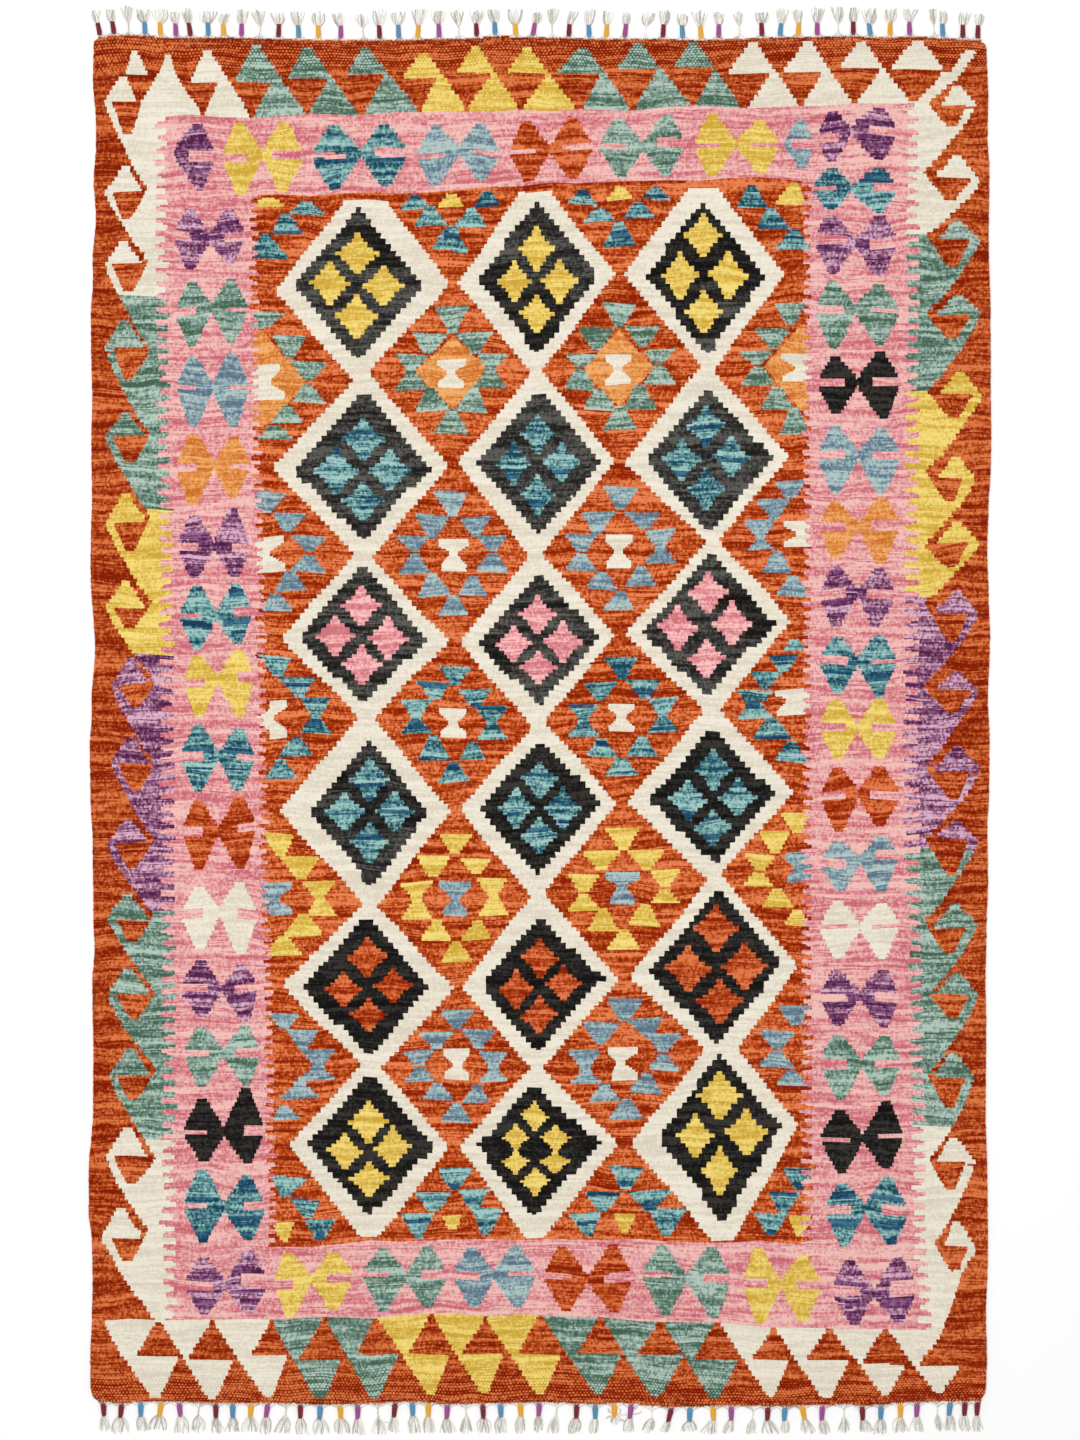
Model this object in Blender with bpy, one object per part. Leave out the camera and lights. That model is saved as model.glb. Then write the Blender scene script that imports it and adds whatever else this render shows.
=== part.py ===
"""Kilim rug, lying flat: a flat-woven wool cloth with a fringe of tassels at each end.

+X runs across the rug, +Y along it towards its upper end, +Z up. The underside lies on z = 0 and the
origin is at the middle of the underside. Metres, unless a table says millimetres.
"""
import math

import bmesh
import bpy
from mathutils import Vector

MM = 0.001

# Driving dimensions of the cloth
CLOTH_HALF_WIDTH = 0.6093
UPPER_END = 0.928
LOWER_END = -0.9312
CLOTH_THICKNESS = 0.0035
EDGE_ROUNDING = 0.0008
EDGE_STEP = 0.015
CORNER_STEPS = 5

# Driving dimensions of the fringe
END_STRIP_WIDTH = 0.0025
END_STRIP_HEIGHT = 0.0024
END_STRIP_GAP = 0.0003
END_STRIP_HALF_LENGTH = 0.6005
NECK_LENGTH = 0.0195
NECK_SHOULDER = 0.003
WRAPPED_NECK = {"width": 0.0064, "height": 0.0048}
BARE_NECK = {"width": 0.0024, "height": 0.0026}
LOCKS_PER_TASSEL = 3
LOCK_MIDDLE = {"spread": 0.62, "fill": 0.8, "height": 0.0032}
LOCK_TIP = {"width": 0.0056, "brush_share": 0.27, "height": 0.0016}
OUTER_LOCK_SHORTER = 0.0022

# The selvedges wander in and out as the weaver pulled the wefts. One row for each bend, from the lower
# end to the upper: place along the rug, then how far the edge stands out, both in millimetres.
LEFT_SELVEDGE = (
    (-904, 2.2), (-857, 2.2), (-816, 0.0), (-762, -1.0), (-707, 0.0), (-680, 4.2), (-598, 4.2),
    (-571, 1.4), (-544, -1.4), (-462, -2.0), (-354, -0.5), (-313, -3.9), (-272, -2.0), (-163, -1.0),
    (-109, 2.0), (-34, 3.1), (0, 0.4), (41, 0.4), (68, -2.7), (102, -4.6), (136, -2.3), (163, 0.0),
    (190, 1.8), (245, 1.5), (299, 0.0), (381, 0.7), (435, -0.4), (503, 1.1), (551, 1.8), (598, -1.4),
    (626, -0.8), (680, -5.4), (734, -2.4), (775, -5.4), (816, -5.4), (870, -1.4), (925, -2.4),
)
RIGHT_SELVEDGE = (
    (-904, -2.3), (-870, -1.4), (-816, -2.9), (-721, 0.0), (-653, -0.5), (-598, -1.4), (-544, -3.3),
    (-408, -2.3), (-354, -3.5), (-299, -2.3), (-218, 0.0), (-136, -1.0), (-109, 1.4), (-27, 2.2),
    (27, -0.4), (82, 1.9), (109, 3.0), (163, 1.2), (231, -1.0), (299, 1.0), (326, 3.5), (381, 4.4),
    (462, 3.8), (544, 3.5), (653, 1.0), (755, 1.8), (789, -0.7), (843, 0.5), (911, -1.9),
)

# The woven ends, from left to right: place across the rug, then how far the end stands out, millimetres.
UPPER_EDGE = (
    (-605, 1.0), (-571, 4.0), (-530, 3.0), (-510, 0.0), (-422, 0.5), (-381, -1.0), (-286, -3.0),
    (-190, -3.0), (-136, -1.5), (-95, -1.0), (-68, 2.0), (-48, 3.0), (-27, 0.0), (-14, 1.0),
    (27, 0.0), (82, -1.5), (163, -1.5), (218, -3.4), (245, -2.0), (326, 0.5), (394, 1.5),
    (422, 2.5), (449, 0.5), (517, 1.5), (544, 0.0), (571, -2.0), (596, -3.0),
)
LOWER_EDGE = (
    (-592, -2.0), (-571, -0.5), (-530, -3.2), (-476, -2.0), (-456, -0.7), (-354, -0.7), (-299, 1.4),
    (-245, 0.5), (-177, -2.7), (-122, 0.7), (-54, -0.7), (0, -2.0), (82, 0.7), (109, -1.4),
    (150, 2.7), (170, 4.8), (272, 2.7), (326, 4.1), (374, 1.4), (394, 2.7), (422, 0.0), (442, 4.1),
    (462, 1.4), (496, -1.4), (544, -2.9), (598, -3.4),
)

# The rounded corners: how far each runs across and along the rug, in millimetres.
CORNERS = {
    "upper left": (5, 6),
    "upper right": (8, 14),
    "lower right": (9, 26),
    "lower left": (11, 24),
}

# The tassels, one letter each from left to right: R, B, Y and P have a wool wrap round the neck, in
# red, blue, yellow and purple, and W is a bare white neck.
UPPER_WRAPS = "RRWBYP" + "RBYPW" * 8 + "BRR"
LOWER_WRAPS = "RRBYPW" + "RBYPW" * 8 + "BRR"

# One row for each tassel from left to right, in millimetres: place across the rug, how far the neck's
# tip leans to the right, how far the brush's middle leans, the brush's width, and the tassel's reach.
UPPER_TASSELS = (
    (-598, -4, -7, 10, 35), (-579, -3, -6, 12, 35), (-559, -1, -4, 14, 38), (-537, -1, -3, 18, 34),
    (-516, -1, -1, 22, 37), (-495, -1, -3, 14, 34), (-475, -3, -5, 12, 37), (-451, -1, -1, 22, 34),
    (-430, -1, 1, 14, 31), (-406, 0, 1, 15, 37), (-381, 1, -3, 15, 37), (-356, 1, 0, 18, 34),
    (-328, -1, -2, 15, 37), (-301, -1, -1, 18, 37), (-271, 0, -3, 16, 35), (-240, -1, -4, 22, 33),
    (-218, -1, 0, 18, 39), (-192, -1, -2, 20, 37), (-167, 2, 3, 16, 40), (-137, -1, -2, 18, 38),
    (-110, -1, -3, 14, 37), (-86, -1, 1, 19, 35), (-61, -1, -2, 16, 35), (-33, -1, -1, 21, 38),
    (-10, 3, 7, 11, 31), (17, -1, 0, 14, 38), (39, 1, 6, 11, 35), (67, -1, 1, 16, 38),
    (90, 1, 3, 15, 37), (115, 2, 2, 12, 35), (143, 1, 5, 18, 34), (167, 1, 3, 14, 38),
    (194, -1, -1, 16, 34), (219, -1, -3, 18, 38), (243, 0, -1, 15, 35), (272, -1, -2, 12, 35),
    (302, -1, 0, 19, 33), (326, 2, 3, 15, 37), (351, 1, -1, 12, 35), (377, 0, 1, 15, 38),
    (405, 1, -1, 16, 39), (426, 0, 1, 11, 37), (450, -3, -1, 19, 37), (476, 0, 0, 19, 37),
    (503, -1, 0, 19, 37), (536, -1, -2, 8, 37), (548, -1, 1, 11, 35), (575, 0, 3, 15, 35),
    (595, 1, 2, 13, 34),
)
LOWER_TASSELS = (
    (-594, 1, 2, 12, 37), (-569, -2, -2, 22, 39), (-543, 0, 3, 14, 38), (-515, -3, -4, 22, 36),
    (-491, 2, 4, 16, 40), (-464, -1, -1, 18, 37), (-441, 0, 2, 12, 38), (-418, 0, 0, 14, 37),
    (-393, -1, -1, 19, 37), (-370, -3, -3, 14, 39), (-345, -1, -5, 19, 39), (-326, 0, 3, 13, 39),
    (-299, -1, 2, 19, 38), (-272, 1, 3, 18, 38), (-248, 0, 1, 14, 39), (-221, 1, 2, 16, 40),
    (-197, -2, -2, 12, 39), (-174, 1, 2, 15, 40), (-152, 0, 1, 15, 39), (-126, -1, 1, 18, 37),
    (-101, 1, -1, 14, 37), (-78, 1, 2, 16, 38), (-54, 1, 0, 14, 39), (-27, 1, -1, 11, 39),
    (-1, -1, -3, 11, 38), (23, -1, -6, 14, 39), (50, -1, -4, 15, 38), (75, 0, -3, 11, 37),
    (101, 0, 2, 12, 26), (124, -2, -4, 12, 37), (152, 0, -6, 12, 34), (179, -5, -10, 9, 32),
    (204, -1, -2, 18, 32), (235, 1, -5, 14, 35), (260, 0, -6, 11, 35), (290, -1, -3, 12, 36),
    (310, -1, 5, 18, 35), (333, -1, 1, 11, 34), (356, 4, 9, 15, 36), (384, -1, 3, 12, 37),
    (413, 1, 1, 11, 36), (438, 1, 7, 15, 33), (464, -1, -1, 14, 38), (490, 0, -1, 16, 38),
    (513, -1, 0, 14, 38), (541, -1, 3, 9, 37), (558, -2, 1, 11, 38), (578, -1, -1, 12, 38),
    (595, -1, 0, 11, 39),
)

WOOL_MADDER = (0.55, 0.13, 0.045, 1.0)
COTTON_WHITE = (0.72, 0.69, 0.62, 1.0)
YARN_ROUGHNESS = 0.9


def eased(table, place):
    """Read a wandering edge at one place: level at each row and smooth in between."""
    rows = [(at * MM, out * MM) for at, out in table]
    if place <= rows[0][0]:
        return rows[0][1]
    for (low, out_low), (high, out_high) in zip(rows, rows[1:]):
        if place <= high:
            share = (place - low) / (high - low)
            return out_low + (out_high - out_low) * share * share * (3 - 2 * share)
    return rows[-1][1]


def stations(low, high, step):
    """Even places from low to high, about one step apart."""
    count = max(1, round((high - low) / step))
    return [low + (high - low) * i / count for i in range(count + 1)]


# Both the cloth and the end strips read the woven ends at these places, so their gap stays even.
END_STATIONS = stations(-END_STRIP_HALF_LENGTH, END_STRIP_HALF_LENGTH, EDGE_STEP)


def end_line(table, across):
    """How far a woven end stands out, as straight runs between the end stations."""
    across = min(max(across, END_STATIONS[0]), END_STATIONS[-1])
    pitch = END_STATIONS[1] - END_STATIONS[0]
    index = min(int((across - END_STATIONS[0]) / pitch), len(END_STATIONS) - 2)
    share = (across - END_STATIONS[index]) / pitch
    before = eased(table, END_STATIONS[index])
    after = eased(table, END_STATIONS[index + 1])
    return before + (after - before) * share


def upper_edge(across):
    return UPPER_END + end_line(UPPER_EDGE, across)


def lower_edge(across):
    return LOWER_END - end_line(LOWER_EDGE, across)


def left_edge(along):
    return -CLOTH_HALF_WIDTH - eased(LEFT_SELVEDGE, along)


def right_edge(along):
    return CLOTH_HALF_WIDTH + eased(RIGHT_SELVEDGE, along)


def corner(name, selvedge, end, side, way):
    """One rounded corner, from its selvedge to its woven end. side and way are the corner's signs."""
    across, along = (size * MM for size in CORNERS[name])
    cut = END_STRIP_WIDTH + END_STRIP_GAP
    edge_x = selvedge(end(side * CLOTH_HALF_WIDTH) - way * along)
    centre_x = edge_x - side * across
    centre_y = end(centre_x) - way * (cut + along)
    points = []
    for step in range(CORNER_STEPS + 1):
        turn = math.pi / 2 * step / CORNER_STEPS
        x = centre_x + side * across * math.cos(turn)
        y = centre_y + way * along * math.sin(turn)
        points.append((x, y))
    return points


def cloth_outline():
    """The cloth's edge, anticlockwise from the lower end of the right selvedge."""
    cut = END_STRIP_WIDTH + END_STRIP_GAP
    lower_right = corner("lower right", right_edge, lower_edge, 1, -1)
    upper_right = corner("upper right", right_edge, upper_edge, 1, 1)
    upper_left = corner("upper left", left_edge, upper_edge, -1, 1)
    lower_left = corner("lower left", left_edge, lower_edge, -1, -1)
    right_side = stations(lower_right[0][1], upper_right[0][1], EDGE_STEP)[1:-1]
    left_side = stations(lower_left[0][1], upper_left[0][1], EDGE_STEP)[1:-1]
    upper_x = [x for x in END_STATIONS if upper_left[-1][0] < x < upper_right[-1][0]]
    lower_x = [x for x in END_STATIONS if lower_left[-1][0] < x < lower_right[-1][0]]
    outline = [(right_edge(y), y) for y in right_side]
    outline += upper_right
    outline += [(x, upper_edge(x) - cut) for x in reversed(upper_x)]
    outline += reversed(upper_left)
    outline += [(left_edge(y), y) for y in reversed(left_side)]
    outline += lower_left
    outline += [(x, lower_edge(x) + cut) for x in lower_x]
    outline += reversed(lower_right)
    return outline


def drawn_in(outline, depth):
    """The same outline, moved in by depth at right angles to its run."""
    moved = []
    for index, point in enumerate(outline):
        before = Vector(outline[index - 1])
        after = Vector(outline[(index + 1) % len(outline)])
        run = (after - before).normalized()
        moved.append((point[0] - run.y * depth, point[1] + run.x * depth))
    return moved


def new_piece(name, mesh_body, material):
    mesh = bpy.data.meshes.new(name)
    mesh_body.to_mesh(mesh)
    mesh_body.free()
    mesh.materials.append(material)
    piece = bpy.data.objects.new(name, mesh)
    bpy.context.scene.collection.objects.link(piece)
    return piece


def yarn_material(name, colour):
    material = bpy.data.materials.new(name)
    material.use_nodes = True
    shader = material.node_tree.nodes["Principled BSDF"]
    shader.inputs["Base Color"].default_value = colour
    shader.inputs["Roughness"].default_value = YARN_ROUGHNESS
    shader.inputs["Metallic"].default_value = 0.0
    return material


def make_cloth():
    """The woven slab, with its edges a little rounded where the wefts turn back."""
    outline = cloth_outline()
    inner = drawn_in(outline, EDGE_ROUNDING)
    levels = (
        (inner, 0.0),
        (outline, EDGE_ROUNDING),
        (outline, CLOTH_THICKNESS - EDGE_ROUNDING),
        (inner, CLOTH_THICKNESS),
    )
    body = bmesh.new()
    rings = [[body.verts.new((x, y, z)) for x, y in points] for points, z in levels]
    for low, high in zip(rings, rings[1:]):
        for index in range(len(low)):
            body.faces.new((low[index - 1], low[index], high[index], high[index - 1]))
    body.faces.new(reversed(rings[0]))
    body.faces.new(rings[-1])
    return new_piece("rug_cloth", body, yarn_material("madder_wool", WOOL_MADDER))


class FloorPlan:
    """A solid that lies on z = 0, drawn as a plan whose corners each have their own height."""

    def __init__(self, way):
        self.body = bmesh.new()
        self.below = {}
        self.way = way

    def corner(self, x, y, height):
        top = self.body.verts.new((x, y, height))
        self.below[top] = self.body.verts.new((x, y, 0.0))
        return top

    def face(self, corners):
        """A face of the plan, on top and underneath. Corners run anticlockwise where way is 1."""
        ordered = corners[::self.way]
        self.body.faces.new(ordered)
        self.body.faces.new([self.below[top] for top in reversed(ordered)])

    def with_walls(self):
        """Close the sides, from every open edge on top down to the one below it."""
        for face in list(self.body.faces):
            for loop in list(face.loops):
                start, finish = loop.vert, loop.link_loop_next.vert
                if start in self.below and loop.edge.is_boundary:
                    self.body.faces.new((finish, start, self.below[start], self.below[finish]))
        return self.body


def neck_of(wrap):
    return BARE_NECK if wrap == "W" else WRAPPED_NECK


def lay_end_strip(plan, edge, tassels, wraps):
    """The knotted strip along a woven end. Gives back the two corners where each tassel starts."""
    places = {}
    for number, row in enumerate(tassels):
        half = neck_of(wraps[number])["width"] / 2
        places[row[0] * MM - half] = (number, "left")
        places[row[0] * MM + half] = (number, "right")
    necks = [row[0] * MM for row in tassels]
    for x in END_STATIONS:
        if min(abs(x - neck) for neck in necks) > WRAPPED_NECK["width"] / 2 + MM:
            places[x] = None
    roots = {}
    before = None
    for x in sorted(places):
        inner = plan.corner(x, edge(x) - plan.way * END_STRIP_WIDTH, END_STRIP_HEIGHT)
        outer = plan.corner(x, edge(x), END_STRIP_HEIGHT)
        if before:
            plan.face([before[1], before[0], inner, outer])
        if places[x]:
            roots[places[x]] = outer
        before = (inner, outer)
    return roots


def lay_tassel(plan, edge, row, neck, root_left, root_right):
    """One tassel: its neck, then the locks of its brush, which part from each other at once."""
    middle, lean, brush_lean, brush_width, reach = (size * MM for size in row)
    foot = edge(middle)
    half = neck["width"] / 2

    def corner(x, out, height):
        return plan.corner(x, foot + plan.way * out, height)

    shoulder_x = middle + lean * NECK_SHOULDER / NECK_LENGTH
    shoulder_left = corner(shoulder_x - half, NECK_SHOULDER, neck["height"])
    shoulder_right = corner(shoulder_x + half, NECK_SHOULDER, neck["height"])
    plan.face([shoulder_left, root_left, root_right, shoulder_right])
    root_pitch = neck["width"] / LOCKS_PER_TASSEL
    lock_roots = [
        corner(middle + lean - half + root_pitch * number, NECK_LENGTH, neck["height"])
        for number in range(LOCKS_PER_TASSEL + 1)
    ]
    plan.face([shoulder_left, shoulder_right, *reversed(lock_roots)])

    tip_width = min(LOCK_TIP["width"], brush_width * LOCK_TIP["brush_share"])
    tip_pitch = (brush_width - tip_width) / (LOCKS_PER_TASSEL - 1)
    spread = LOCK_MIDDLE["spread"]
    middle_pitch = root_pitch + (tip_pitch - root_pitch) * spread
    middle_width = min(tip_width, middle_pitch * LOCK_MIDDLE["fill"])
    for number in range(LOCKS_PER_TASSEL):
        off = number - (LOCKS_PER_TASSEL - 1) / 2
        root_x = middle + lean + off * root_pitch
        tip_x = middle + brush_lean + off * tip_pitch
        tip_out = reach - abs(off) * OUTER_LOCK_SHORTER
        rings = (
            (root_x + (tip_x - root_x) * spread, (NECK_LENGTH + tip_out) / 2, middle_width, LOCK_MIDDLE),
            (tip_x, tip_out, tip_width, LOCK_TIP),
        )
        left, right = lock_roots[number], lock_roots[number + 1]
        for x, out, width, ring in rings:
            ahead_left = corner(x - width / 2, out, ring["height"])
            ahead_right = corner(x + width / 2, out, ring["height"])
            plan.face([ahead_left, left, right, ahead_right])
            left, right = ahead_left, ahead_right


def make_fringe(name, edge, way, tassels, wraps):
    """One end strip with its tassels, lying on the floor. way is 1 where they point along +Y."""
    plan = FloorPlan(way)
    roots = lay_end_strip(plan, edge, tassels, wraps)
    for number, row in enumerate(tassels):
        neck = neck_of(wraps[number])
        lay_tassel(plan, edge, row, neck, roots[(number, "left")], roots[(number, "right")])
    return new_piece(name, plan.with_walls(), yarn_material(f"{name}_cotton", COTTON_WHITE))


def centre_on_origin(pieces):
    """Move every piece alike, so that the middle of the whole rug is over the origin."""
    corners = [vertex.co for piece in pieces for vertex in piece.data.vertices]
    middle_x = (min(point.x for point in corners) + max(point.x for point in corners)) / 2
    middle_y = (min(point.y for point in corners) + max(point.y for point in corners)) / 2
    for piece in pieces:
        for vertex in piece.data.vertices:
            vertex.co.x -= middle_x
            vertex.co.y -= middle_y


for old in list(bpy.data.objects):
    bpy.data.objects.remove(old, do_unlink=True)

centre_on_origin([
    make_cloth(),
    make_fringe("fringe_upper", upper_edge, 1, UPPER_TASSELS, UPPER_WRAPS),
    make_fringe("fringe_lower", lower_edge, -1, LOWER_TASSELS, LOWER_WRAPS),
])
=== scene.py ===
"""Kilim rug lying flat on a pale floor, seen from straight above, with a fringe of tassels at each end."""
import math

import bpy
import numpy as np
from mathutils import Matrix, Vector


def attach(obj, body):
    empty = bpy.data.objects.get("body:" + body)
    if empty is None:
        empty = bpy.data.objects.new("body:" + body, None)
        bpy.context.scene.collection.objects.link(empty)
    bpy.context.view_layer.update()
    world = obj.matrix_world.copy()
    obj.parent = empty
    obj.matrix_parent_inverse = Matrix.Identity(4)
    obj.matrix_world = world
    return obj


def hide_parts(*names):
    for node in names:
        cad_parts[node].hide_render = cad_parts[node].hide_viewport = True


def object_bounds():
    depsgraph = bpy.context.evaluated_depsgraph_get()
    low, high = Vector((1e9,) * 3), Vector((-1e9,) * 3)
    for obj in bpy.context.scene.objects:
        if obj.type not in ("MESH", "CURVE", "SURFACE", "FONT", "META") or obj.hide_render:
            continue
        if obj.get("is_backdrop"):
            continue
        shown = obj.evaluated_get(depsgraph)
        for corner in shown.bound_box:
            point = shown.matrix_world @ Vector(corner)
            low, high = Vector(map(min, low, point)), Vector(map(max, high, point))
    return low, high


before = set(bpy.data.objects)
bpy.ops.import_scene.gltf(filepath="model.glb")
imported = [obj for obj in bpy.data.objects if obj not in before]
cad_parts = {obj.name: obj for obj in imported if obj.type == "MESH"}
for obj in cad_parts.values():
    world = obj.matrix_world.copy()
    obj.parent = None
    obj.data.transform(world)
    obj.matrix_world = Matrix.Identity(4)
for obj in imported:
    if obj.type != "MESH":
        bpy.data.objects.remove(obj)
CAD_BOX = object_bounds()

# ---------------------------------------------------------------------------------------------------
# The cloth. Hand-spun, vegetable-dyed wool wefts are beaten down hard over cotton warps, so that no
# warp shows. Each patch of colour is its own skein of weft, turned back at the patch's edge. It came
# off the loom in one flat piece, and the pattern is the same on its underside.
MM = 0.001
SQUARE = 1.36 * MM                # one square of the weaver's chart
CHART_MIDDLE = (540.07, 720.37)   # the square at the rug's middle; x runs right and y runs down
CHART_LEFT, CHART_RIGHT = 86, 995
PICK = 1.7 * MM                   # one pass of the weft
ROW = 2.0                         # squares to a row of the chart, 2.7 mm: a pass out and most of one back
COLUMN = 0.5                      # squares to a column
CLOTH_TOP = 3.5 * MM
EDGE_ROUNDING = 0.8 * MM

YARNS = {  # shaded, usual and pale colour along the skein
    "madder": ("#801A00", "#B4491A", "#DE7A46"),
    "field madder": ("#881E00", "#BB4B17", "#E68250"),
    "pink": ("#C86672", "#DF9799", "#EFBEB6"),
    "white": ("#D9CFBC", "#E5DDCA", "#EFE7D6"),
    "black": ("#100F0D", "#211F1D", "#383531"),
    "charcoal": ("#1C1A18", "#383633", "#5B5954"),
    "sage": ("#44634F", "#7B968A", "#B2C7B9"),
    "yellow": ("#CCA43A", "#E2C15E", "#F2D87A"),
    "teal": ("#164357", "#609396", "#A0C6C1"),
    "blue": ("#5A7082", "#839CA6", "#B0C4C0"),
    "purple": ("#521D49", "#945F80", "#D9ADC2"),
    "dark purple": ("#441B40", "#68355F", "#945F8A"),
    "light orange": ("#C76B28", "#DC8E48", "#EEAB6A"),
    "rose": ("#CC727A", "#E89BA0", "#F6C3BF"),
    "red orange": ("#8C1F00", "#B84A1D", "#E0794A"),
    "dark blue": ("#163A56", "#275670", "#447488"),
}
YARN_NAMES = list(YARNS)


def ring_of(node, height):
    """The outline of a CAD piece at one height, anticlockwise, in metres."""
    corners = {
        (round(v.co.x, 6), round(v.co.y, 6))
        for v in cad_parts[node].data.vertices
        if abs(v.co.z - height) < 0.01 * MM
    }
    return sorted(corners, key=lambda p: math.atan2(p[1], p[0]))


def on_chart(points):
    """Points in metres as places on the chart."""
    return [(p[0] / SQUARE + CHART_MIDDLE[0], CHART_MIDDLE[1] - p[1] / SQUARE) for p in points]


# The woven ends run between the rounded corners, and neither comes further in than its last row here.
UPPER_SPAN, UPPER_LAST = (97.0, 981.0), 100
LOWER_SPAN, LOWER_LAST = (98.0, 980.3), 1340
outline = on_chart(ring_of("rug_cloth", CLOTH_TOP))
upper_end = sorted(p for p in outline if p[1] < UPPER_LAST and UPPER_SPAN[0] < p[0] < UPPER_SPAN[1])
lower_end = sorted(p for p in outline if p[1] > LOWER_LAST and LOWER_SPAN[0] < p[0] < LOWER_SPAN[1])
sides = [p for p in outline if p not in upper_end[1:-1] and p not in lower_end[1:-1]]
left_selvedge = sorted((p for p in sides if p[0] < CHART_MIDDLE[0]), key=lambda p: p[1])
right_selvedge = sorted((p for p in sides if p[0] > CHART_MIDDLE[0]), key=lambda p: p[1])

# The wefts lie in gentle waves. These are the lines where the borders begin and end, from the upper
# end of the rug to the lower one; every row between two of them runs between them.
columns = np.arange(CHART_LEFT, CHART_RIGHT, COLUMN)
WEFT_LINES = [
    upper_end,
    [(90, 118), (160, 117), (240, 117), (300, 116), (400, 113), (450, 111.5), (570, 111), (600, 110),
     (700, 107), (800, 107), (850, 104), (905, 104), (990, 103)],
    [(90, 196), (270, 195), (390, 194), (450, 190), (500, 187.5), (550, 184), (600, 182.5), (650, 181),
     (735, 179), (790, 180), (990, 180)],
    [(90, 300), (990, 297)],
    [(90, 1150), (990, 1150)],
    [(90, 1250), (274, 1248), (350, 1243), (450, 1240), (560, 1239.5), (700, 1242), (800, 1244),
     (990, 1247)],
    [(90, 1320), (280, 1320), (350, 1318), (400, 1316), (450, 1315), (530, 1315), (600, 1319),
     (650, 1321), (700, 1323), (750, 1326), (800, 1328), (900, 1330), (990, 1333)],
    lower_end,
]
waves = np.array([np.interp(columns, *zip(*line)) for line in WEFT_LINES])
middle = len(columns) // 2
line_rows = [round((wave[middle] - waves[0][middle]) / ROW) for wave in waves]
row_count = line_rows[-1]
weft_y = np.zeros((row_count + 1, len(columns)))
for index in range(len(waves) - 1):
    first, last = line_rows[index], line_rows[index + 1]
    for row in range(first, last + 1):
        share = (row - first) / (last - first)
        weft_y[row] = waves[index] * (1 - share) + waves[index + 1] * share

# The chart itself: which yarn and which skein lies in each row and column.
row_y = (weft_y[:-1] + weft_y[1:]) / 2
column_x = np.broadcast_to(columns + COLUMN / 2, row_y.shape)
row_number = np.broadcast_to(np.arange(row_count)[:, None], row_y.shape)
yarn_at = np.zeros(row_y.shape, int)
skein_at = np.zeros(row_y.shape, int)
hand = np.random.default_rng(7)       # what is uneven because the work is done by hand
skeins_used = 0
# How far a skein's two edges stray at each row, in squares. Each skein reads the list from further down
# than the one before, and every ninth from its top again, so the list is longer than the rug has rows.
STRAYING, FURTHER_DOWN = 0.3, 37
unevenness = hand.normal(0, STRAYING, (2, row_count + 400))


def lay(yarn, patch, rows=slice(None), across=slice(None)):
    """Weave one patch of the chart in a new skein of the yarn."""
    global skeins_used
    skeins_used += 1
    yarn_at[rows, across][patch] = YARN_NAMES.index(yarn)
    skein_at[rows, across][patch] = skeins_used


def weave(yarn, left, right, rise=0, run=0, bite=0.5, within=None):
    """Weave a patch between two edges, each a list of chart places going down. With a rise, its edges go
    in steps that many squares high, and with a run, that many wide. bite is where in a step the edge is
    read, and within is a mask that the patch keeps to."""
    top, bottom = max(left[0][1], right[0][1]), min(left[-1][1], right[-1][1])
    rows = slice(
        max(0, int(np.searchsorted(row_y.max(axis=1), top)) - 1),
        int(np.searchsorted(row_y.min(axis=1), bottom)) + 1,
    )
    reach = [p[0] for p in left + right]
    spare = 6    # squares to either side, for the steps and the straying
    across = slice(
        max(0, int((min(reach) - spare - columns[0]) / COLUMN)),
        int((max(reach) + spare - columns[0]) / COLUMN),
    )
    y, x = row_y[rows, across], column_x[rows, across]
    at = top + (np.floor((y - top) / rise) + bite) * rise if rise else y
    edges = []
    for side, edge in enumerate((left, right)):
        places = [p[1] + 0.001 * i for i, p in enumerate(edge)]
        edge_x = np.interp(at, places, [p[0] for p in edge])
        if run:
            edge_x = left[0][0] + np.round((edge_x - left[0][0]) / run) * run
        start = rows.start + FURTHER_DOWN * (skeins_used % 9)
        edge_x = edge_x + unevenness[side, start:start + y.shape[0]][:, None]
        edges.append(edge_x)
    patch = (y >= top) & (y < bottom) & (x >= edges[0]) & (x < edges[1])
    if within is not None:
        patch &= within[rows, across]
    lay(yarn, patch, rows, across)


HALF_TIP = 3         # squares either side of a point's middle, where it ends
SPIKE_RISE = 4.2     # about so many squares to a step of a spike


def spike(yarn, x0, x1, base, tip_x, tip_y, within=None):
    """A triangle with a flat base, pointing up or down to its tip."""
    left, right = [(x0, base), (tip_x - HALF_TIP, tip_y)], [(x1, base), (tip_x + HALF_TIP, tip_y)]
    if tip_y < base:
        left.reverse()
        right.reverse()
    steps = max(3, round(abs(tip_y - base) / SPIKE_RISE))
    weave(yarn, left, right, abs(tip_y - base) / steps, bite=0.2 if tip_y > base else 0.8, within=within)


def lozenge(yarn, top, left, right, bottom, rise=5.9, run=5.0):
    """A stepped lozenge between its four corners. Its tips are one step wide."""
    (top_x, top_y), (bottom_x, bottom_y), half = top, bottom, run / 2
    weave(yarn, [(top_x - half, top_y), left, (bottom_x - half, bottom_y)],
          [(top_x + half, top_y), right, (bottom_x + half, bottom_y)], rise, run)


TOOTH_SQUARENESS = 1.2    # 0.5 for a plain wave, and more for teeth with flat ends
TOOTH_STRAYING = 1.1      # squares


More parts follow.
